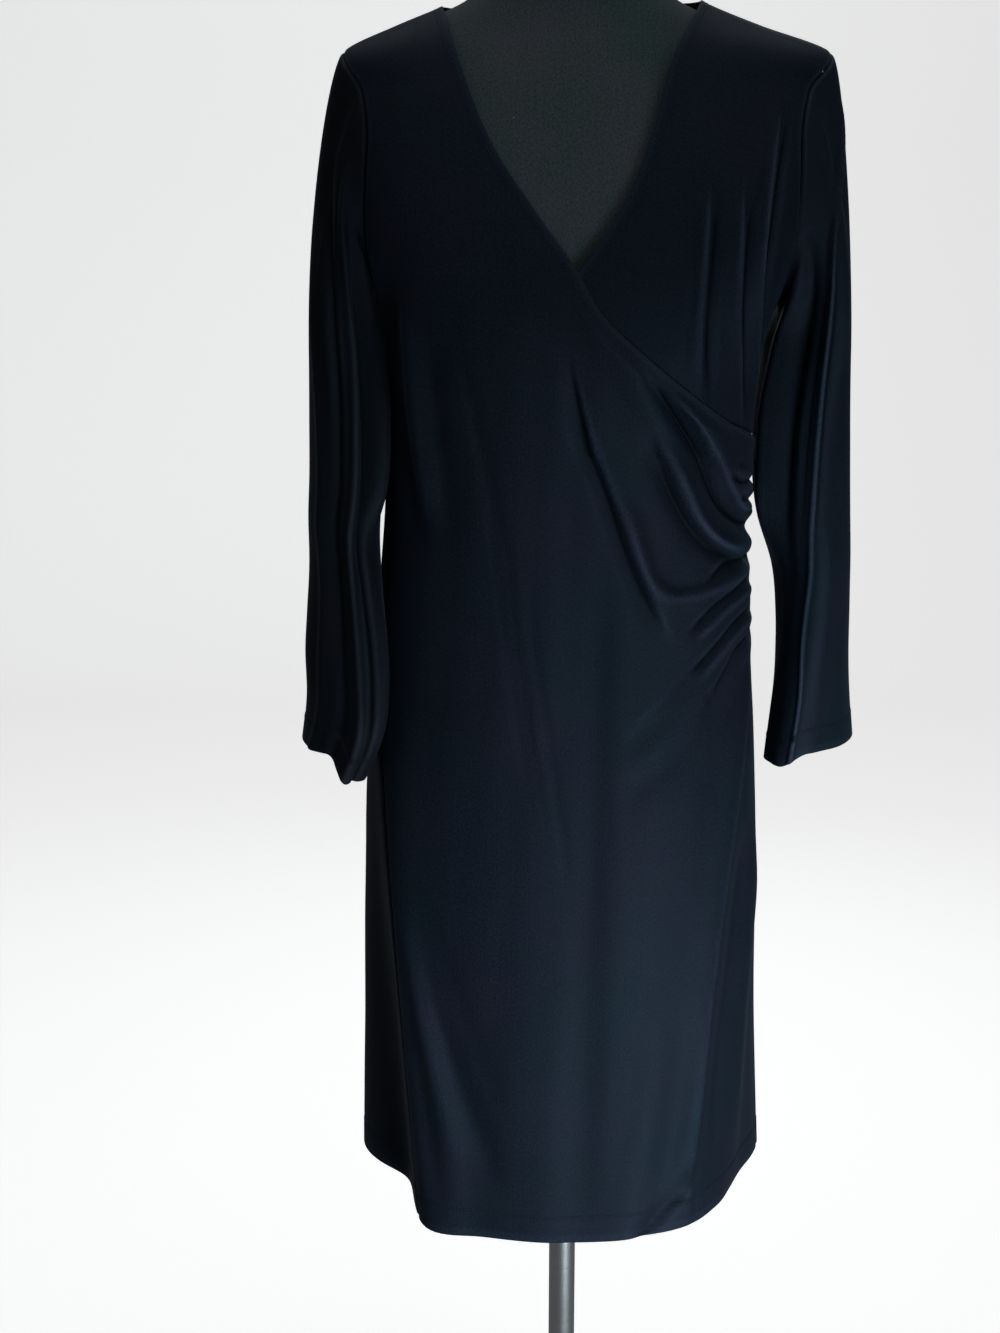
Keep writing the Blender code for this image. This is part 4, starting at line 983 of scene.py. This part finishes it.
BACK_NECK_REACH = 0.070  # of the neck's oval, behind the middle of the form
BACK_CREASES = [Crease(*row) for row in (
    ("blade fold, wearer's right", -4, 10, 10, ((-150, 1300), (-132, 1200), (-112, 1090),
        (-100, 1000))),
    ("blade fold, wearer's left", -4, 10, 10, ((158, 1290), (138, 1190), (120, 1100),
        (104, 1020))),
    ("swag over the waist", 3.4, 11, 9, ((-120, 1080), (-40, 1052), (50, 1050), (130, 1085))),
    ("hollow of the waist", -3, 9, 9, ((-110, 1045), (-30, 1014), (40, 1012), (120, 1050))),
    ("swag under the waist", 3.4, 11, 9, ((-125, 1010), (-40, 975), (50, 978), (130, 1020))),
    ("slack line, wearer's right", -3, 9, 8, ((-60, 1240), (-52, 1150), (-48, 1070))),
    ("slack line, wearer's left", -2, 8, 8, ((52, 1225), (50, 1150), (40, 1080))),
    ("first drag from the gathers", -3.4, 7, 8, ((184, 1056), (150, 1046), (110, 1020))),
    ("second drag from the gathers", -3.4, 7, 8, ((184, 992), (150, 976), (112, 946))),
    ("third drag from the gathers", -2.8, 8, 8, ((184, 938), (152, 914), (120, 872))),
    ("hanging line, wearer's right", -2.2, 9, 9, ((-70, 900), (-78, 760), (-90, 620),
        (-98, 460))),
    ("hanging line, middle", 2, 11, 11, ((20, 880), (12, 740), (4, 580), (0, 440))),
    ("hanging line, wearer's left", -2.2, 9, 9, ((86, 880), (94, 740), (104, 600), (112, 450))),
)]
BACK_NAVY = (0.0060, 0.0086, 0.0148)
BACK_ROW_COUNTS = (66, 56, 76)
BACK_COLUMNS = (34, 52, 34)


def back_rise(angle, height):
    """Creases of the back, and the gathers of the front pushing at the wearer's left side seam."""
    folds = creased(BACK_CREASES, body(angle, height)[..., 0], height)
    return off_seams(angle, height) * (folds + slack(angle, height, 4.0)) + gathered_seam(angle, height, 9)


def back_neck(columns):
    """(angle, height) along the back neck, an oval seen from above that lies on the body."""
    angle = np.linspace(180, 360, columns + 1)
    right = length_of(body(180, NECK_POINT_RIGHT)[:2])
    left = length_of(body(0, NECK_POINT_LEFT)[:2])
    reach = outline(angle, left, right, BACK_NECK_REACH, BACK_NECK_REACH, 2)

    def outside(height):
        """How far the oval stands outside the body at a height."""
        return reach - length_of(body(angle, height)[..., :2])

    return np.stack([angle, halved(outside, 0 * angle + SHOULDER_TIP, 0 * angle + 1.50)], axis=-1)


def back_panel():
    """The back's layout, the columns beside its neck, and its points' distance from the top.

    The top row follows the shoulder seams and the neck, and the rest run straight.
    """
    first, second, third = BACK_ROW_COUNTS
    shares = eased(first, UNEVEN), eased(second), eased(third)
    heights = down(SHOULDER_TIP, zip((UNDERARM, 0.980, HEM + HEM_BAND[-1]), shares), HEM)
    right_edge = side_edge(-1, -1, heights, first)
    left_edge = side_edge(1, -1, heights, first) + np.array([360, 0])
    grid, from_right, from_left = between(right_edge, left_edge, sum(BACK_COLUMNS) - 18, 0)
    grid = to_hem(grid)
    neck = back_neck(BACK_COLUMNS[1])
    neck[0] = right_edge[0, 0], NECK_POINT_RIGHT
    neck[-1] = left_edge[0, 0], NECK_POINT_LEFT
    count = grid.shape[1] - 1 - BACK_COLUMNS[1]
    ends = (count // 2, count - count // 2)
    right_seam = np.linspace(right_edge[0], neck[0], ends[0] + 1)[:-1]
    left_seam = np.linspace(neck[-1], left_edge[0], ends[1] + 1)[1:]
    above = np.concatenate([right_seam, neck, left_seam]) - grid[0]
    grid[:first] += above * (1 - np.arange(first) / first)[:, None, None] ** UNEVEN
    from_top, from_hem = from_ends(body(grid[..., 0], grid[..., 1]))
    at_neck = np.zeros(grid.shape[1])
    at_neck[ends[0] : -ends[1]] = 1
    under = 1 + SEAM_UNDER / SEAM_DIP * fade(-grid[..., 1], -0.04 - LAP_TOP, -LAP_TOP)
    dips = under * (seam_dip(from_right) + seam_dip(from_left))
    return (grid, *edging(from_top, at_neck, dips, from_hem)), ends, from_top


back_layout, back_ends, back_from_top = back_panel()
back_piece, back_outer, back_normal = body_panel(
    "back_cloth", back_layout, back_rise, 270, slinky_material("Slinky knit, back", BACK_NAVY))
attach(back_piece, "root")
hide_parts("back")


# ============================================= Sleeves =============================================
# Two set-in straight sleeves, each one piece sewn into a tube and into its armhole. They hang empty
# and half flat, creased down the front, and the cuffs are turned up and sewn with a twin needle.

UNDERARM_REACH = 0.011  # how far the cap's curves keep their first direction
UNDERARM_RISE = 0.010  # and their last one, at the underarm and at the shoulder
SHOULDER_RISE = 0.120
RING_STEP = 0.02
# Turns round the armhole and the tube, closer together over the folds on the front.
SLEEVE_TURNS = np.linspace(0, 360, 185)[:-1]
SLEEVE_TURNS = SLEEVE_TURNS - 26 * sine(SLEEVE_TURNS - 95) - 26 * sine(95)
CAP_ROWS = 58
TUBE_ROWS = 90

# Cuts across the hanging tube: middle, half length and half thickness of the oval, and the turn in
# degrees that its length points at.
Cut = namedtuple("Cut", "height x y length thickness turn")
# Folds run down the tube as routes of (height in millimetres, turn in degrees, rise in millimetres);
# before and after are their half widths in degrees on the side of lesser and of greater turn.
Fold = namedtuple("Fold", "name before after route")
Sleeve = namedtuple("Sleeve", "name side cap_reach cuff_drop drop_from cuts folds colour")
BACK_FOLDS = (
    Fold("back valley", 14, 14, ((1300, 296, 0), (1200, 298, -7), (840, 288, -7))),
    Fold("back ridge", 12, 12, ((1280, 258, 0), (1180, 261, 3), (840, 252, 3))),
)
SLEEVES = (
    Sleeve(
        "sleeve_right",
        side=-1,
        cap_reach=0.016,
        cuff_drop=0.025,
        drop_from=-0.40,
        cuts=(
            Cut(0.847, -0.2065, -0.052, 0.050, 0.0260, 106),
            Cut(0.889, -0.1950, -0.066, 0.048, 0.0275, 122),
            Cut(0.930, -0.1935, -0.060, 0.049, 0.0285, 126),
            Cut(0.960, -0.1935, -0.052, 0.050, 0.0290, 120),
            Cut(1.000, -0.1945, -0.038, 0.053, 0.0295, 108),
            Cut(1.040, -0.1960, -0.026, 0.057, 0.0305, 98),
            Cut(1.080, -0.1942, -0.019, 0.060, 0.0312, 97),
            Cut(1.130, -0.1938, -0.015, 0.059, 0.0310, 95),
            Cut(1.190, -0.1950, -0.010, 0.058, 0.0290, 90),
        ),
        folds=(
            Fold("middle ridge", 6, 7, ((1345, 66, 0), (1328, 72, 2.6), (1231, 108, 3.4),
                (1104, 106, 3.4), (980, 94, 3.4), (858, 100, 3))),
            Fold("outer valley", 11, 9, ((1345, 38, 0), (1328, 43, -2.4), (1232, 82, -4),
                (1105, 82, -4.4), (978, 72, -4.4), (855, 78, -3.6))),
            Fold("outer ridge", 10, 10, ((1300, 20, 0), (1200, 44, 3), (840, 44, 3.6))),
            Fold("valley inside the middle ridge", 6, 6, ((1290, 100, 0), (1240, 120, -3.5),
                (1104, 122, -5), (1010, 114, -4.5), (940, 116, -4), (850, 120, -3))),
            Fold("inner ridge", 12, 16, ((1290, 112, 0), (1262, 126, 6.8), (1235, 136, 11),
                (1200, 144, 13.6), (1150, 144, 15), (1104, 140, 15), (1070, 138, 12), (1035, 138, 3),
                (940, 144, 3), (850, 144, 2))),
            *BACK_FOLDS,
        ),
        # Painted shade: this sleeve's knit is given a darker, greyer colour than the same cloth on the
        # other sleeve, for the shadow it hangs in.
        colour=(0.0036, 0.0042, 0.0058),
    ),
    Sleeve(
        "sleeve_left",
        side=1,
        cap_reach=0.014,
        cuff_drop=0.013,
        drop_from=-0.05,
        cuts=(
            Cut(0.833, 0.2218, 0.004, 0.058, 0.0334, 121),
            Cut(0.920, 0.2205, 0.002, 0.057, 0.0320, 102),
            Cut(0.960, 0.2195, 0.002, 0.056, 0.0322, 96),
            Cut(1.000, 0.2165, 0.002, 0.057, 0.0332, 88),
            Cut(1.045, 0.2080, 0.002, 0.057, 0.0384, 80),
            Cut(1.120, 0.2035, 0.002, 0.058, 0.0378, 74),
            Cut(1.190, 0.2058, 0.002, 0.060, 0.0284, 70),
        ),
        folds=(
            Fold("crease down the front", 3.5, 3.5, ((1392, 14, 0), (1368, 22, 2), (1336, 33, 2.6),
                (1281, 76, 2.6), (1229, 89, 2.6), (1116, 88, 2.6), (1060, 92, 2.4), (1003, 104, 2.2),
                (935, 112, 2.2), (879, 108, 2.2), (822, 112, 2.2))),
            Fold("valley inside it", 5, 16, ((1360, 34, 0), (1336, 43, -1.6), (1281, 88, -2.2),
                (1229, 101, -2.6), (1116, 100, -2.6), (1060, 104, -1.8), (1003, 116, -0.8),
                (935, 124, -0.4), (822, 124, 0))),
            Fold("deep valley by the body", 9, 10, ((1290, 112, 0), (1262, 116, -4), (1203, 124, -7),
                (1126, 122, -8), (1059, 124, -6), (1000, 134, -2), (930, 146, -1), (840, 150, -1))),
            Fold("ridge by the body", 10, 14, ((1280, 122, 0), (1250, 130, 5), (1215, 142, 9.5),
                (1150, 148, 10.6), (1095, 148, 9), (1052, 150, 9.6), (1026, 154, 4), (840, 170, 2))),
            Fold("outer slack", 16, 16, ((1300, 20, 0), (1150, 52, -2), (840, 66, -2))),
            *BACK_FOLDS,
        ),
        colour=(0.0072, 0.0106, 0.0172),
    ),
)


def sleeve_ring(plan, turns, height):
    """Rings of the hanging tube: ovals that hang lower on the side towards the body."""
    x, y, length, thickness, turn = (column(plan.cuts, key, height) for key in Cut._fields[1:])
    away = turns - turn
    along = np.stack([plan.side * cosine(turn), -sine(turn), 0 * turn], axis=-1)
    across = np.stack([-plan.side * sine(turn), -cosine(turn), 0 * turn], axis=-1)
    oval = (length * cosine(away))[..., None] * along + (thickness * sine(away))[..., None] * across
    top = plan.cuts[-1].height
    lowered = (top - height) / (top - plan.cuts[0].height) * plan.cuff_drop
    inner = fade(-cosine(turns), plan.drop_from, plan.drop_from + 0.7)
    return oval + np.stack([x + 0 * turns, y + 0 * turns, height - lowered * inner], axis=-1)


def folded(plan, height):
    """Rise of the folds on a sleeve: each is a bell of the turn away from its route."""
    rise = 0 * height
    for fold in plan.folds:
        knots, turns, rises = np.array(sorted(fold.route)).T
        off = turned_to(SLEEVE_TURNS - flowing(knots / 1000, turns, height))
        width = np.where(off < 0, fold.before, fold.after)
        rise += flowing(knots / 1000, rises / 1000, height) * bell(off, width)
    return rise


def sleeve_rows(plan):
    """A tube sewn into the armhole: flush with the shoulder, bent off the body at the underarm.

    Each line down the cap is a cubic curve from the armhole to the hanging tube's first ring.
    """
    turns = SLEEVE_TURNS
    angle, height = armhole(plan.side, np.where(turns <= 180, turns, turns - 360))
    hole = body(angle, height)
    outward = body_normal(angle, height)
    inward = hole.mean(axis=0) - hole
    inward -= (inward * outward).sum(axis=1, keepdims=True) * outward
    inward = unit(inward)
    topness = (1 + cosine(turns))[:, None] / 2
    bend = 90 * (1 - topness)
    leaving = cosine(bend) * inward + sine(bend) * outward
    top, cuff = plan.cuts[-1].height, plan.cuts[0].height
    first = sleeve_ring(plan, turns, top + 0 * turns)
    rising = (first - sleeve_ring(plan, turns, top - RING_STEP + 0 * turns)) / RING_STEP
    clear = 2 * SEAM_GAP + 2 * HALF_CLOTH * sine(bend)
    start = hole + inward * clear + outward * CLOTH / 2 * cosine(bend)
    leave = start + leaving * (UNDERARM_REACH + (plan.cap_reach - UNDERARM_REACH) * topness)
    arrive = first + rising * (UNDERARM_RISE + (SHOULDER_RISE - UNDERARM_RISE) * topness)
    t = (np.linspace(0, 1, CAP_ROWS + 1) ** 1.6)[:, None, None]
    cap = (1 - t) ** 3 * start + 3 * (1 - t) ** 2 * t * leave + 3 * (1 - t) * t**2 * arrive + t**3 * first
    cap += seam_dip(arc(cap, 0))[..., None] * outward
    levels = np.linspace(top, cuff + HEM_BAND[-1], TUBE_ROWS + 1)[1:]
    levels = np.append(levels, cuff + HEM_BAND[-2::-1])
    tube = sleeve_ring(plan, turns[None, :] + 0 * levels[:, None], levels[:, None] + 0 * turns[None, :])
    rows = np.concatenate([cap, tube])
    calm = fade(arc(rows, 0), 0.002, 0.016)
    return rows + plan.side * grid_normal(rows, True) * (folded(plan, rows[..., 2]) * calm)[..., None]


sleeve_parts = {}
for plan in SLEEVES:
    middle = sleeve_rows(plan)
    from_seam, from_cuff = from_ends(middle)
    cloth = np.stack([arc(closed(middle), 1), -closed(from_seam)], axis=-1)
    middle = middle + plan.side * grid_normal(middle, True) * turned_hem(from_cuff, HEM_DEPTH)[..., None]
    half = HALF_CLOTH * rounded(np.minimum(from_seam, from_cuff))
    # The right sleeve's colour has painted shade in it.
    finish = slinky_material("Slinky knit, " + plan.name.replace("_", " "), plan.colour)
    piece, outer, normal = skin(
        plan.name + "_cloth", middle, half, cloth, hem_marks(from_cuff, HEM_DEPTH), finish, tube=True)
    sleeve_parts[plan.name] = (piece, outer, normal)
    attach(piece, "root")
    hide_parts(plan.name)


# ============================================ Stitching ============================================
# Navy thread: a twin needle along both V edges and the back neck, and the same round the hem and
# the cuffs. Each stitch is its own short rounded length of thread that dips into the cloth.

STITCH_PITCH = 0.0031
STITCH_LENGTH = 0.0024
THREAD_RADIUS = 0.00024
STITCH_RINGS = 5
STITCH_SIDES = 5
THREAD_NAVY = (0.0100, 0.0140, 0.0220)


def thread_material():
    """Polyester thread: matt, with a fine twist along its length."""
    material, tree, shader = new_material("Navy thread")
    twist = noise(tree, here(tree), 2200.0, 1.0)
    feed(tree, shader, {
        "Base Color": shade(tree, twist, (*THREAD_NAVY, 1), (0.0160, 0.0220, 0.0330, 1)),
        "Roughness": ramp(tree, twist, 0.0, 1.0, 0.60, 0.75), "Specular IOR Level": 0.10})
    return material


THREAD = thread_material()


def line_at(outer, normal, distance, wanted, pick=slice(None)):
    """Points and normals of a grid where a distance, rising along axis 0, reaches the wanted one."""
    values = np.concatenate([outer, normal], axis=-1)
    low = np.clip((distance < wanted).sum(axis=0) - 1, 0, len(distance) - 2)
    across = np.arange(distance.shape[1])
    span = np.maximum(distance[low + 1, across] - distance[low, across], 1e-9)
    t = np.clip((wanted - distance[low, across]) / span, 0, 1)[:, None]
    found = (values[low, across] * (1 - t) + values[low + 1, across] * t)[pick]
    return found[:, :3], found[:, 3:]


def stitching(name, lines):
    """Stitches along lines of (points, normals): rings of a small tube that swells and closes.

    Ring r of a stitch lies along the line at cos(r) of half its length, with sin(r) of the radius.
    """
    rings = np.linspace(8, 172, STITCH_RINGS)[None, :, None, None]
    sides = np.linspace(0, 360, STITCH_SIDES, endpoint=False)[None, None, :, None]
    found = []
    for points, normals in lines:
        length = arc(points, 0)
        at = np.arange(STITCH_PITCH / 2, length[-1], STITCH_PITCH)
        ways = [*points.T, *normals.T]
        spot = np.stack([np.interp(at, length, way) for way in ways], axis=-1)
        after = np.stack([np.interp(at + 0.0004, length, way) for way in ways[:3]], axis=-1)
        run = after - spot[:, :3]
        found.append(np.concatenate([spot, run], axis=-1)[length_of(run) > 1e-5])
    centre, up, run = np.split(np.concatenate(found), 3, axis=-1)
    run = unit(run)
    side = unit(np.cross(run, up))
    up = np.cross(side, run)
    centre, run, side, up = (part[:, None, None, :] for part in (centre, run, side, up))
    swell = THREAD_RADIUS * sine(rings) * (cosine(sides) * side + sine(sides) * up)
    lift = THREAD_RADIUS * (1.3 * sine(rings) - 0.6) * up
    points = centre + run * STITCH_LENGTH / 2 * cosine(rings) + swell + lift
    faces = grid_quads(closed(numbered(STITCH_RINGS, STITCH_SIDES)))[:, ::-1]
    quads = (np.arange(len(centre)) * STITCH_RINGS * STITCH_SIDES)[:, None, None] + faces
    return mesh_piece(name, points, quads.reshape(-1, 4), THREAD)


def neck_lines():
    """Both needles along the wrap's free edge, the under bodice's V edge and the back neck.

    The lines stop a few rows short of the seams.
    """
    wrap = [part.swapaxes(0, 1)[::-1] for part in (wrap_outer, wrap_normal, wrap_from_left)]
    under = [part.swapaxes(0, 1) for part in (under_outer, under_normal, under_from_right)]
    edges = (
        (wrap, slice(4, sum(WRAP_ROW_COUNTS[:2]) - 3)),
        (under, slice(4, UNDER_ROW_COUNTS[0] + 22)),
        ((back_outer, back_normal, back_from_top), slice(back_ends[0] + 1, -back_ends[1] - 1)))
    rows = (NECK_HEM, NECK_HEM - NEEDLES)
    return [line_at(*parts, wanted, pick) for wanted in rows for parts, pick in edges]


def low_lines(panels, pick):
    """Both needles along the lower edge of each panel of (points, normals)."""
    rows = (HEM_DEPTH, HEM_DEPTH - NEEDLES)
    return [
        line_at(outer[::-1], normal[::-1], arc(outer[::-1], 0), wanted, pick)
        for outer, normal in panels for wanted in rows]


neck_stitching = stitching("neck_stitching", neck_lines())
hem_panels = ((wrap_outer, wrap_normal), (back_outer, back_normal))
hem_stitching = stitching("hem_stitching", low_lines(hem_panels, slice(3, -3)))
cuff_panels = [(closed(outer), closed(normal)) for piece, outer, normal in sleeve_parts.values()]
cuff_stitching = stitching("cuff_stitching", low_lines(cuff_panels, slice(None)))
for piece, slot in (
    (neck_stitching, "wrap knit"), (hem_stitching, "wrap knit"), (cuff_stitching, "sleeve left knit"),
):
    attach(piece, "root")


# ============================================== Stand ==============================================
# What the form stands on: a turned wooden cap over the neck, a black collar under the foot, a brushed
# steel pole, and a round weighted base of pressed steel with a raised hub, enamelled grey.

CAP_HEIGHT = 0.016
CAP_RADIUS = 0.050
POLE_RADIUS = 0.0125
COLLAR_RADIUS = 0.045
COLLAR_HEIGHT = 0.055
BASE_RADIUS = 0.185
BASE_THICKNESS = 0.012
HUB_RADIUS = 0.030
HUB_HEIGHT = 0.050
SEAM = 0.0004
COLLAR_FOOT = FORM_BOTTOM - SEAM - COLLAR_HEIGHT


def turned(name, profile, material, sides=120):
    """A solid turned round the stand's axis from (radius, height) points, closed by small rings."""
    profile = np.array([(0.0002, profile[0][1]), *profile, (0.0002, profile[-1][1])])
    angle = np.linspace(0, 360, sides, endpoint=False) + 0 * profile[:, :1]
    points = placed(profile[:, :1] + 0 * angle, angle, profile[:, 1:] + 0 * angle)
    piece = mesh_piece(name, points, grid_quads(closed(numbered(*angle.shape))), material)
    piece.data.set_sharp_from_angle(angle=np.radians(50))
    return piece


def rounded_profile(points, size):
    """A profile whose corners are replaced by quarter curves of the given size."""
    points = np.array(points, float)
    result = [points[0]]
    share = np.linspace(0, 1, 6)[:, None]
    for before, corner, after in zip(points[:-2], points[1:-1], points[2:]):
        reach = min(size, 0.45 * length_of(before - corner), 0.45 * length_of(after - corner))
        start, end = (corner + unit(other - corner) * reach for other in (before, after))
        result.extend((1 - share) ** 2 * start + 2 * share * (1 - share) * corner + share**2 * end)
    return [tuple(point) for point in [*result, points[-1]]]


def grained(name, stretch, scale, detail, tones, roughs, looks):
    """A material that a noise, drawn out by a stretch, takes between two tones and two roughnesses."""
    material, tree, shader = new_material(name)
    drawn = add(tree, "Mapping", {"Vector": here(tree), "Scale": stretch}).outputs[0]
    lines = noise(tree, drawn, scale, detail)
    feed(tree, shader, {
        "Base Color": shade(tree, lines, *[(*tone, 1) for tone in tones]),
        "Roughness": ramp(tree, lines, 0.0, 1.0, *roughs), **looks})
    return material


def wood_material():
    """Varnished beech: rings of the turned block drawn out by noise, under a clear coat."""
    tones = (0.13, 0.070, 0.032), (0.30, 0.185, 0.095)
    return grained("Cap beech", (18, 90, 60), 2.0, 5.0, tones, (0.38, 0.55), {"Coat Weight": 0.4})


def moulded_material():
    """Matt black moulded plastic with a fine grain."""
    material, tree, shader = new_material("Collar plastic")
    speckle = noise(tree, here(tree), 900.0, 2.0)
    feed(tree, shader, {
        "Base Color": shade(tree, speckle, (0.012, 0.012, 0.013, 1), (0.026, 0.026, 0.028, 1)),
        "Normal": bumped(tree, speckle, 0.3, 0.0002), "Roughness": 0.5})
    return material


def steel_material():
    """Steel brushed round: fine lines across the pole that change its gloss."""
    tones = (0.42, 0.43, 0.44), (0.62, 0.63, 0.64)
    return grained("Pole steel", (30, 30, 2500), 1.0, 3.0, tones, (0.22, 0.40), {"Metallic": 1.0})


def enamel_material():
    """Satin grey enamel with a faint orange peel and slow changes of its gloss."""
    material, tree, shader = new_material("Base enamel")
    place = here(tree)
    patch = noise(tree, place, 22.0, 4.0)
    feed(tree, shader, {
        "Base Color": shade(tree, patch, (0.30, 0.31, 0.32, 1), (0.38, 0.39, 0.40, 1)),
        "Roughness": ramp(tree, patch, 0.0, 1.0, 0.30, 0.46), "Metallic": 0.5,
        "Normal": bumped(tree, noise(tree, place, 420.0, 1.0), 0.12, 0.0003)})
    return material


STAND = (
    ("neck_cap", "form_neck_cap", "neck cap wood", wood_material(), 0.004, (
        (CAP_RADIUS - 0.008, FORM_TOP + SEAM), (CAP_RADIUS, FORM_TOP + 0.004),
        (CAP_RADIUS - 0.001, FORM_TOP + 0.012), (CAP_RADIUS - 0.009, FORM_TOP + CAP_HEIGHT),
        (0.001, FORM_TOP + CAP_HEIGHT))),
    ("collar", "stand_collar", "collar plastic", moulded_material(), 0.002, (
        (POLE_RADIUS + 0.001, COLLAR_FOOT), (POLE_RADIUS + 0.004, COLLAR_FOOT),
        (POLE_RADIUS + 0.008, COLLAR_FOOT + 0.012), (COLLAR_RADIUS, FORM_BOTTOM - SEAM - 0.012),
        (COLLAR_RADIUS, FORM_BOTTOM - SEAM), (0.001, FORM_BOTTOM - SEAM))),
    ("pole", "stand_pole", "pole steel", steel_material(), 0.001, (
        (0.001, HUB_HEIGHT + SEAM), (POLE_RADIUS, HUB_HEIGHT + SEAM),
        (POLE_RADIUS, COLLAR_FOOT - SEAM), (0.001, COLLAR_FOOT - SEAM))),
    ("base", "stand_base", "base enamel", enamel_material(), 0.003, (
        (0.001, 0), (BASE_RADIUS - 0.001, 0), (BASE_RADIUS, 0.0015), (BASE_RADIUS, BASE_THICKNESS - 0.003),
        (BASE_RADIUS - 0.004, BASE_THICKNESS), (HUB_RADIUS + 0.010, BASE_THICKNESS + 0.004),
        (HUB_RADIUS - 0.006, HUB_HEIGHT - 0.010), (POLE_RADIUS + 0.006, HUB_HEIGHT), (0.001, HUB_HEIGHT))),
)
for name, node, slot, material, size, profile in STAND:
    piece = turned(name, rounded_profile(profile, size), material)
    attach(piece, "root")
    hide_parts(node)


# ============================================== Studio =============================================
# A pale floor that sweeps up behind the dress, a soft light low on the dress's left front, weaker
# ones before, behind and over it, and the camera a little to its right, looking down on it.

SWEEP_FRONT = -9.0
SWEEP_BACK = 3.2
SWEEP_RADIUS = 1.4
SWEEP_WIDTH = 14.0
SWEEP_TOP = 8.0
CAMERA_PLACE = (-0.060, -1.80, 1.35)
CAMERA_PITCH = 14.0
FOCAL_PIXELS = 2060
PICTURE_HEIGHT = 1333
AIR = 0.05  # light of the air itself, and what the camera sees of it on top
AIR_SEEN = 0.87


def sweep():
    """Floor and wall as one sheet: flat, then a quarter circle up, then straight up."""
    turn = np.linspace(0, 90, 25)
    y = np.array([SWEEP_FRONT, *SWEEP_BACK + SWEEP_RADIUS * sine(turn), SWEEP_BACK + SWEEP_RADIUS])
    z = np.array([0, *SWEEP_RADIUS * (1 - cosine(turn)), SWEEP_TOP])
    x = np.array([-SWEEP_WIDTH / 2, SWEEP_WIDTH / 2])
    points = np.stack(np.broadcast_arrays(x[None, :], y[:, None], z[:, None]), axis=-1)
    material, tree, shader = new_material("Pale sweep")
    seen = add(tree, "LightPath").outputs["Is Camera Ray"]
    feed(tree, shader, {
        "Base Color": shade(tree, seen, (0.35, 0.35, 0.35, 1), (0.90, 0.90, 0.90, 1)),
        "Emission Strength": math(tree, "MULTIPLY", seen, 0.62), "Emission Color": (1, 1, 1, 1),
        "Roughness": 0.9, "Specular IOR Level": 0.1})
    return mesh_piece("studio_floor", points, grid_quads(numbered(len(y), 2))[:, ::-1], material)


def softbox(name, place, target, size, power, spread, colour):
    """A flat area light turned towards a point, its beam narrowed to a spread in degrees."""
    light = bpy.data.lights.new(name, "AREA")
    light.shape = "RECTANGLE"
    light.size, light.size_y = size
    light.energy = power
    light.color = colour
    light.spread = np.radians(spread)
    lamp = bpy.data.objects.new(name, light)
    lamp.location = place
    away = np.array(place) - np.array(target)
    flat = np.hypot(away[0], away[1])
    lamp.rotation_euler = (np.arctan2(flat, away[2]), 0, np.arctan2(away[0], -away[1]))
    bpy.context.scene.collection.objects.link(lamp)


sweep()
softbox("key", (0.72, -1.30, 0.16), (0.02, -0.05, 0.50), (0.9, 0.5), 7.0, 75, (0.80, 0.95, 1.0))
softbox("front", (1.2, -2.2, 1.5), (0.0, 0.0, 1.1), (1.4, 1.2), 2.4, 180, (1.0, 0.96, 1.0))
softbox("back", (0.4, 2.6, 1.7), (0.0, 0.0, 1.0), (1.6, 1.4), 5.5, 120, (0.90, 0.97, 1.0))
softbox("over", (0.0, 0.6, 3.2), (0.0, 1.6, 0.0), (3.0, 3.0), 36, 180, (1.0, 1.0, 1.0))

world = bpy.data.worlds.new("Studio air")
bpy.context.scene.world = world
world.use_nodes = True
tree = world.node_tree
seen = add(tree, "LightPath").outputs["Is Camera Ray"]
feed(tree, tree.nodes["Background"], {
    "Strength": math(tree, "MULTIPLY_ADD", seen, AIR_SEEN, AIR), "Color": (1, 1, 1, 1)})

camera_data = bpy.data.cameras.new("Camera")
camera_data.sensor_fit = "VERTICAL"
camera_data.sensor_height = 24.0
camera_data.lens = FOCAL_PIXELS / PICTURE_HEIGHT * camera_data.sensor_height
camera = bpy.data.objects.new("Camera", camera_data)
camera.location = CAMERA_PLACE
camera.rotation_euler = (np.radians(90 - CAMERA_PITCH), 0, 0)
bpy.context.scene.collection.objects.link(camera)
bpy.context.scene.camera = camera
bpy.context.scene.view_settings.view_transform = "Standard"
